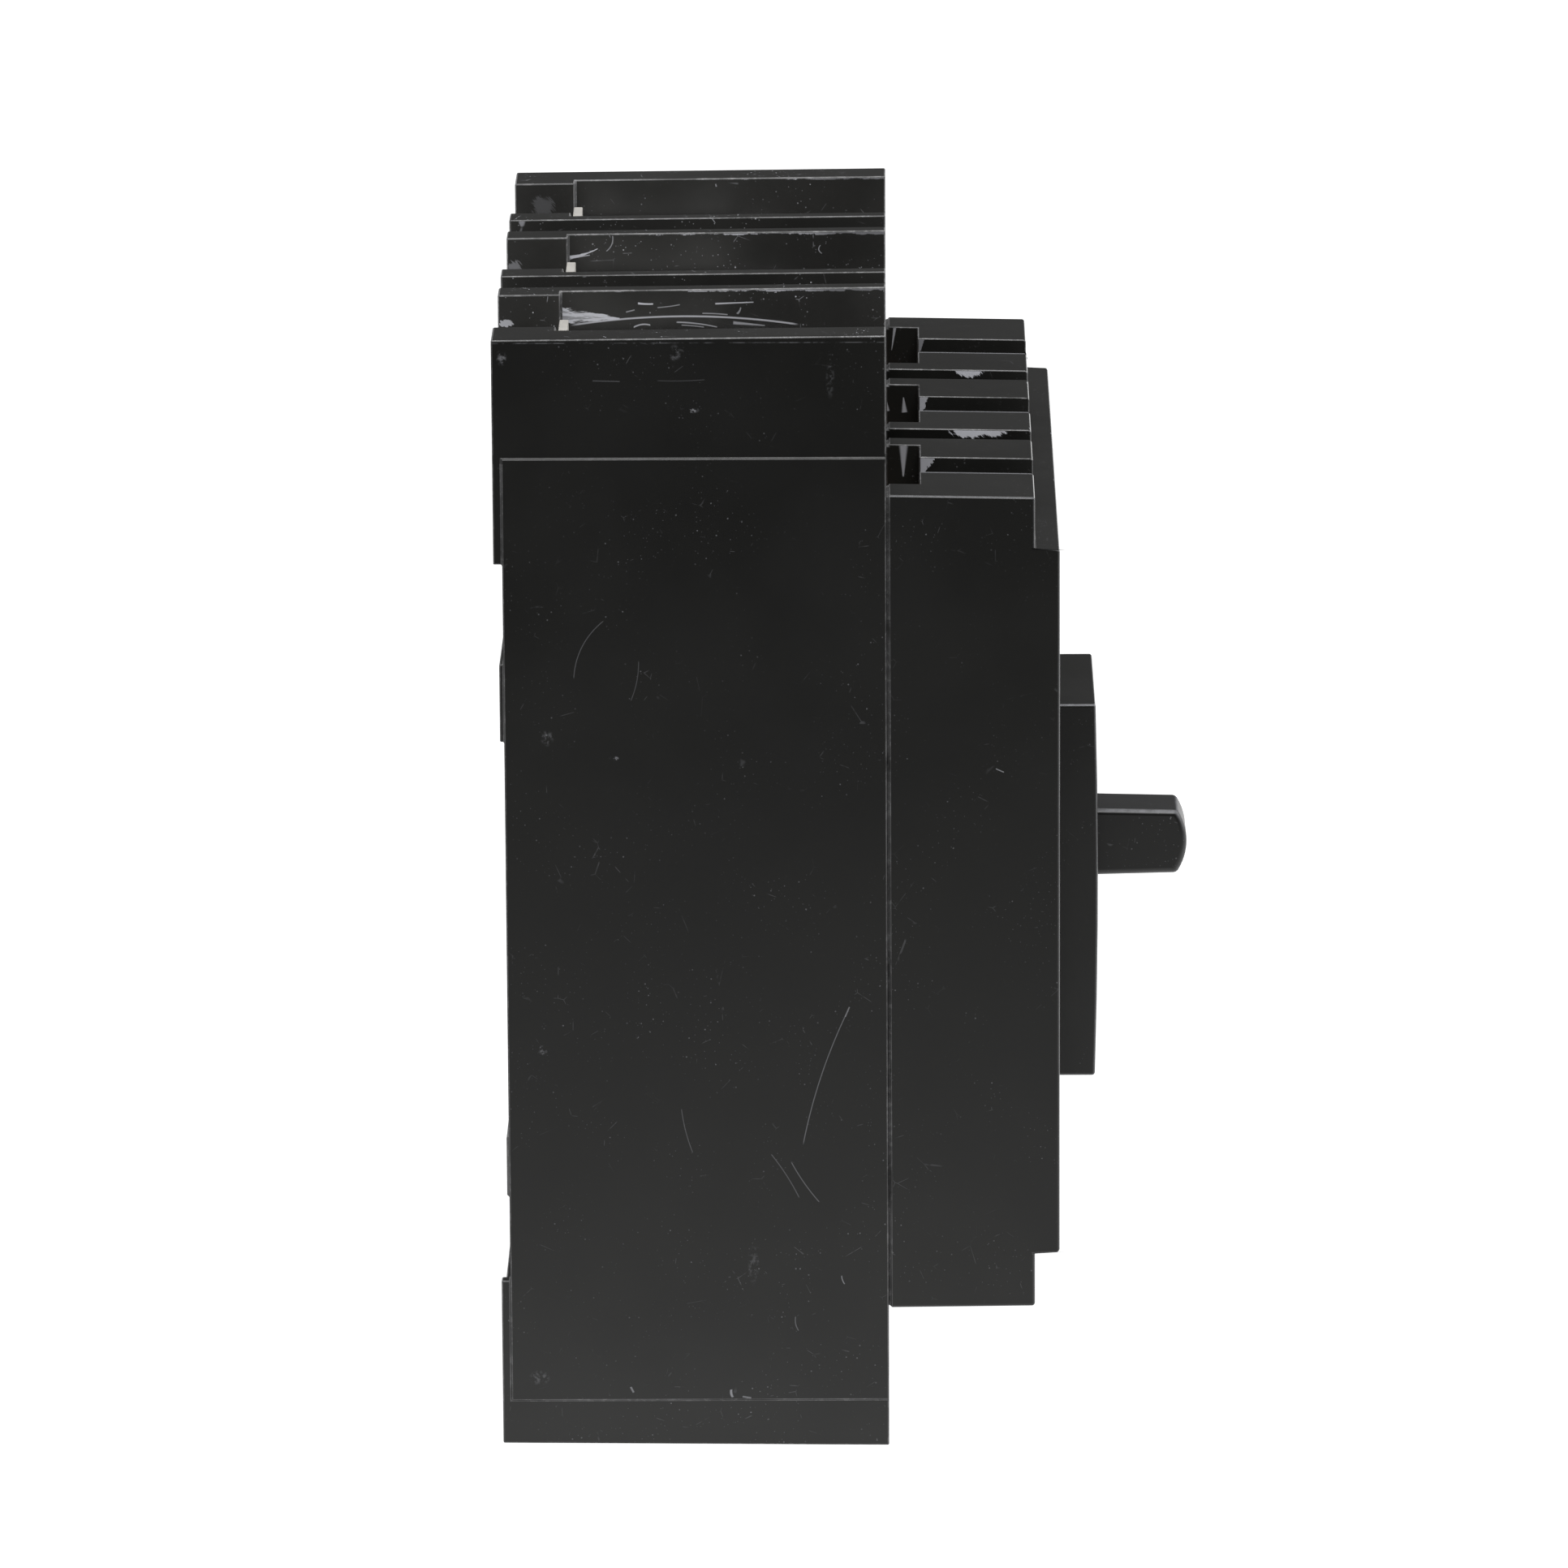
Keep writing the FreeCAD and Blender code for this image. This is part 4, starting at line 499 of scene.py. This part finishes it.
def handle_material():
    """The handle: the same moulding, a little smoother from the hand, with painted highlights on its upward
    rounds and painted light on its top faces.
    """
    s = Shader("black_handle")
    facing_z = s.facing()[2]
    patchy = s.span(s.noise(320.0, 4.0, 0.65), 0.35, 0.65, 0.12, 0.26)
    # Painted highlight mixed with wear: the rounds are lighter where they face up.
    worn = s.times(s.rounds(), s.span(facing_z, 0.1, 0.6, 0.15, 1.0), patchy)
    # Painted light: the faces that look up are a little lighter.
    painted_top_light = s.span(facing_z, 0.8, 0.98, 0.0, 0.022)
    marks = s.plus(dust(s, 0.5), worn, painted_top_light)
    return finish_moulding(s, marks, body_colour(s, (0.0045, 0.0045, 0.0038)), 0.30)


def edge_wear_and_highlight(name, light):
    """The narrow rounds along a moulding's edges: rubbed grey and chipped in places, with a painted
    highlight that is lightest where they face up.
    """
    s = Shader(name)
    rubbed = s.span(s.noise(140.0, 4.0, 0.6), 0.30, 0.62, 0.25, 1.0)
    chips = s.span(s.noise(900.0, 4.0, 0.75), 0.50, 0.62)
    # Painted highlight: the edges are lighter where they face up.
    upward_highlight = s.span(s.facing()[2], 0.15, 0.75, 0.40, 1.0)
    x, _, z = s.axes()
    in_bays = s.times(inside_walls(s, x), s.math("GREATER_THAN", z, RIBS_Z * MM), 0.9)
    ledge = s.plus(1.0, s.times(s.within(z, LEDGE_Z[0] * MM, LEDGE_Z[1] * MM, 0.1 * MM), -0.80))
    wear_and_highlight = s.times(s.math("MAXIMUM", upward_highlight, in_bays), ledge,
                   s.plus(s.times(rubbed, 0.7), s.times(chips, 0.5)))
    s.put(s.surface.inputs["Base Color"], s.mix(s.math("MINIMUM", wear_and_highlight, 1.0), (0.012, 0.012, 0.011),
                                                (light, light, light * 1.02)))
    s.surface.inputs["Roughness"].default_value = 0.32
    s.bump(s.noise(2500.0, 3.0), 0.01 * MM, 0.3)
    return s.material


def plain_moulding(name, colour, roughness):
    """An inner or small moulded or fibre part: mottled colour with fine grain."""
    s = Shader(name)
    cloudy = s.noise(120.0, 5.0, 0.6)
    s.put(s.surface.inputs["Base Color"], s.mix(cloudy, tuple(c * 0.7 for c in colour),
                                                tuple(min(1.0, c * 1.3) for c in colour)))
    s.put(s.surface.inputs["Roughness"], s.span(cloudy, 0.3, 0.7, roughness - 0.08, roughness + 0.08))
    s.bump(s.noise(2200.0, 3.0), 0.03 * MM, 0.4)
    return s.material


def metal(name, colour, roughness, stretch=(1.0, 1.0, 14.0), metallic=1.0):
    """A metal part: drawn grain, a clouded finish and a few darker spots."""
    s = Shader(name)
    s.surface.inputs["Metallic"].default_value = metallic
    grain = s.noise(900.0, 4.0, 0.6, stretch=stretch)
    cloudy = s.noise(150.0, 4.0)
    spots = s.span(s.noise(420.0, 5.0, 0.7), 0.60, 0.72)
    clean = s.mix(cloudy, tuple(c * 0.82 for c in colour), tuple(min(1.0, c * 1.12) for c in colour))
    s.put(s.surface.inputs["Base Color"], s.mix(s.math("MULTIPLY", spots, 0.35), clean,
                                                tuple(c * 0.45 for c in colour)))
    s.put(s.surface.inputs["Roughness"], s.span(grain, 0.3, 0.7, roughness - 0.08, roughness + 0.12))
    s.bump(grain, 0.01 * MM, 0.35)
    return s.material


def label_material(colour):
    """The rating plate: brushed metal with a ruled border and empty ruled rows, and no lettering."""
    s = Shader("label_metal")
    s.surface.inputs["Metallic"].default_value = 0.6
    x, _, z = s.axes()
    plate_low, plate_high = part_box("rating_label")
    grain = s.noise(900.0, 4.0, 0.6, stretch=(14.0, 1.0, 1.0))
    edge_gap = s.math("MINIMUM", s.math("MINIMUM", s.math("SUBTRACT", x, plate_low[0]),
                                        s.math("SUBTRACT", plate_high[0], x)),
                      s.math("MINIMUM", s.math("SUBTRACT", z, plate_low[2]),
                             s.math("SUBTRACT", plate_high[2], z)))
    border = s.within(edge_gap, 1.2 * MM, 1.6 * MM, 0.05 * MM)
    inside = s.math("GREATER_THAN", edge_gap, 1.4 * MM)
    rows = [s.within(z, plate_low[2] + row * MM, plate_low[2] + (row + 0.25) * MM, 0.04 * MM)
            for row in LABEL_ROWS]
    ruled = s.math("MINIMUM", s.plus(border, s.times(inside, s.plus(*rows))), 1.0)
    worn = s.span(s.noise(260.0, 5.0, 0.7), 0.35, 0.70, 0.9, 0.55)
    clean = s.mix(grain, tuple(c * 0.86 for c in colour), colour)
    s.put(s.surface.inputs["Base Color"], s.mix(s.times(ruled, worn), clean, (0.03, 0.03, 0.03)))
    s.put(s.surface.inputs["Roughness"], s.span(grain, 0.3, 0.7, 0.38, 0.52))
    s.bump(s.math("SUBTRACT", s.times(grain, 0.3), ruled), 0.02 * MM, 0.4)
    return s.material


def materials():
    """Every material slot of the record with its shader."""
    return {
        "moulding": case_material(),
        "handle": handle_material(),
        "case_edge": edge_wear_and_highlight("case_edge_wear_and_highlight", 0.31),
        "handle_edge": edge_wear_and_highlight("handle_edge_wear_and_highlight", 0.14),
        "insulator": plain_moulding("brown_insulator", (0.055, 0.028, 0.016), 0.5),
        "button_plastic": plain_moulding("red_button", (0.38, 0.02, 0.015), 0.35),
        "fibre": plain_moulding("vulcanised_fibre", (0.30, 0.17, 0.10), 0.65),
        "steel": metal("zinc_steel", (0.56, 0.56, 0.57), 0.34),
        "screw_steel": metal("screw_steel", (0.62, 0.62, 0.64), 0.26, (14.0, 14.0, 1.0)),
        "copper": metal("copper", (0.78, 0.38, 0.24), 0.34),
        "tinned_copper": metal("tinned_copper", (0.78, 0.755, 0.71), 0.48, metallic=0.35),
        "silver": metal("silver_contact", (0.88, 0.87, 0.84), 0.3, (1.0, 1.0, 1.0)),
        "bimetal": metal("bimetal", (0.50, 0.46, 0.40), 0.38),
        "lug_aluminium": metal("lug_aluminium", (0.80, 0.80, 0.79), 0.36, (1.0, 14.0, 1.0)),
        "label_metal": label_material((0.62, 0.62, 0.60)),
    }


def refine(obj, width, segments, edge=None):
    """Round a CAD node's hard edges so that they catch the light, with the edges' own material if given."""
    weld = obj.modifiers.new("weld", "WELD")
    weld.merge_threshold = 0.002 * MM
    flat = obj.modifiers.new("flat", "DECIMATE")
    flat.decimate_type = "DISSOLVE"
    flat.angle_limit = math.radians(0.03)
    bevel = obj.modifiers.new("bevel", "BEVEL")
    bevel.width = width
    bevel.segments = segments
    bevel.limit_method = "ANGLE"
    bevel.angle_limit = math.radians(35)
    bevel.use_clamp_overlap = False
    if edge:
        obj.data.materials.append(edge)
        bevel.material = 1
    normals = obj.modifiers.new("normals", "WEIGHTED_NORMAL")
    normals.keep_sharp = True
    for polygon in obj.data.polygons:
        polygon.use_smooth = True


# Words in the names of the small parts whose edges are rounded too.
FINE_EDGES = ("lug", "screw", "conductor", "side_frame", "handle_yoke", "cradle", "latch", "rating_label",
              "trip_button")


def dress():
    """Assign each CAD node its material and round the edges of the parts that show."""
    palette = materials()
    slots = {part["node"]: part["material_slot"] for part in frame["record"]["subparts"]}
    for name, obj in nodes.items():
        material = palette["handle"] if name == "handle" else palette[slots[name]]
        obj.data.materials.clear()
        obj.data.materials.append(material)
        if any(word in name for word in FINE_EDGES):
            refine(obj, 0.12 * MM, 2)
    refine(nodes["base"], 0.20 * MM, 2, palette["case_edge"])
    refine(nodes["cover"], 0.16 * MM, 2, palette["case_edge"])
    refine(nodes["handle"], 0.25 * MM, 3, palette["handle_edge"])


# Where the floor's glow rises, in metres of X: over a long stretch, and once more close to the left side.
FLOOR_FADE = (-0.58, 0.02)
FLOOR_BRIM = (-0.14, -0.05)


def floor():
    """A plain pale floor, white to the camera; its reflection in the left side dims with distance."""
    s = Shader("pale_floor")
    x = s.axes()[0]
    glow = s.plus(s.span(x, *FLOOR_FADE, 0.10, 0.83), s.span(x, *FLOOR_BRIM, 0.0, 0.16))
    s.put(s.surface.inputs["Base Color"], s.mix(s.span(x, *FLOOR_FADE), (0.04, 0.04, 0.04),
                                                (0.30, 0.30, 0.30)))
    s.surface.inputs["Roughness"].default_value = 0.9
    s.surface.inputs["Specular IOR Level"].default_value = 0.0
    s.put(s.surface.inputs["Emission Color"], (1.0, 1.0, 1.0))
    seen = s.tree.nodes.new("ShaderNodeLightPath").outputs["Is Camera Ray"]
    s.put(s.surface.inputs["Emission Strength"], s.math("MAXIMUM", glow, seen))
    bpy.ops.mesh.primitive_plane_add(size=12.0, location=(0, 0, floor_z))
    plane = bpy.context.object
    plane.name = "floor"
    plane.data.materials.append(s.material)


# Soft area lights around the object, all pointed at the origin: name, place, width, height, watts.
SOFTBOXES = (
    ("overhead", (0.1, -0.1, 1.5), 1.6, 1.6, 13.0),
    ("key", (-1.1, -0.15, 1.35), 1.0, 0.7, 14.0),
    ("backdrop", (2.2, 0.0, 0.75), 2.6, 1.3, 0.9),
    ("front_side", (0.35, -1.3, 0.5), 0.9, 1.2, 7.0),
    ("back_side", (0.35, 1.3, 0.5), 0.9, 1.2, 5.0),
)
SURROUND_STRENGTH = 0.06


def softbox(name, place, width, height, power):
    """A rectangular area light pointed at the origin."""
    data = bpy.data.lights.new(name, "AREA")
    data.shape = "RECTANGLE"
    data.size = width
    data.size_y = height
    data.energy = power
    light = bpy.data.objects.new(name, data)
    light.location = place
    light.rotation_euler = (-Vector(place)).to_track_quat("-Z", "Y").to_euler()
    light.visible_camera = False
    bpy.context.scene.collection.objects.link(light)


def lights():
    """The soft lights and a dim, even surround."""
    world = bpy.data.worlds.new("studio")
    bpy.context.scene.world = world
    world.use_nodes = True
    world.node_tree.nodes["Background"].inputs[0].default_value = (1.0, 1.0, 1.0, 1.0)
    world.node_tree.nodes["Background"].inputs[1].default_value = SURROUND_STRENGTH
    for box in SOFTBOXES:
        softbox(*box)
    bpy.context.scene.view_settings.view_transform = "Standard"


camera()
dress()
floor()
lights()
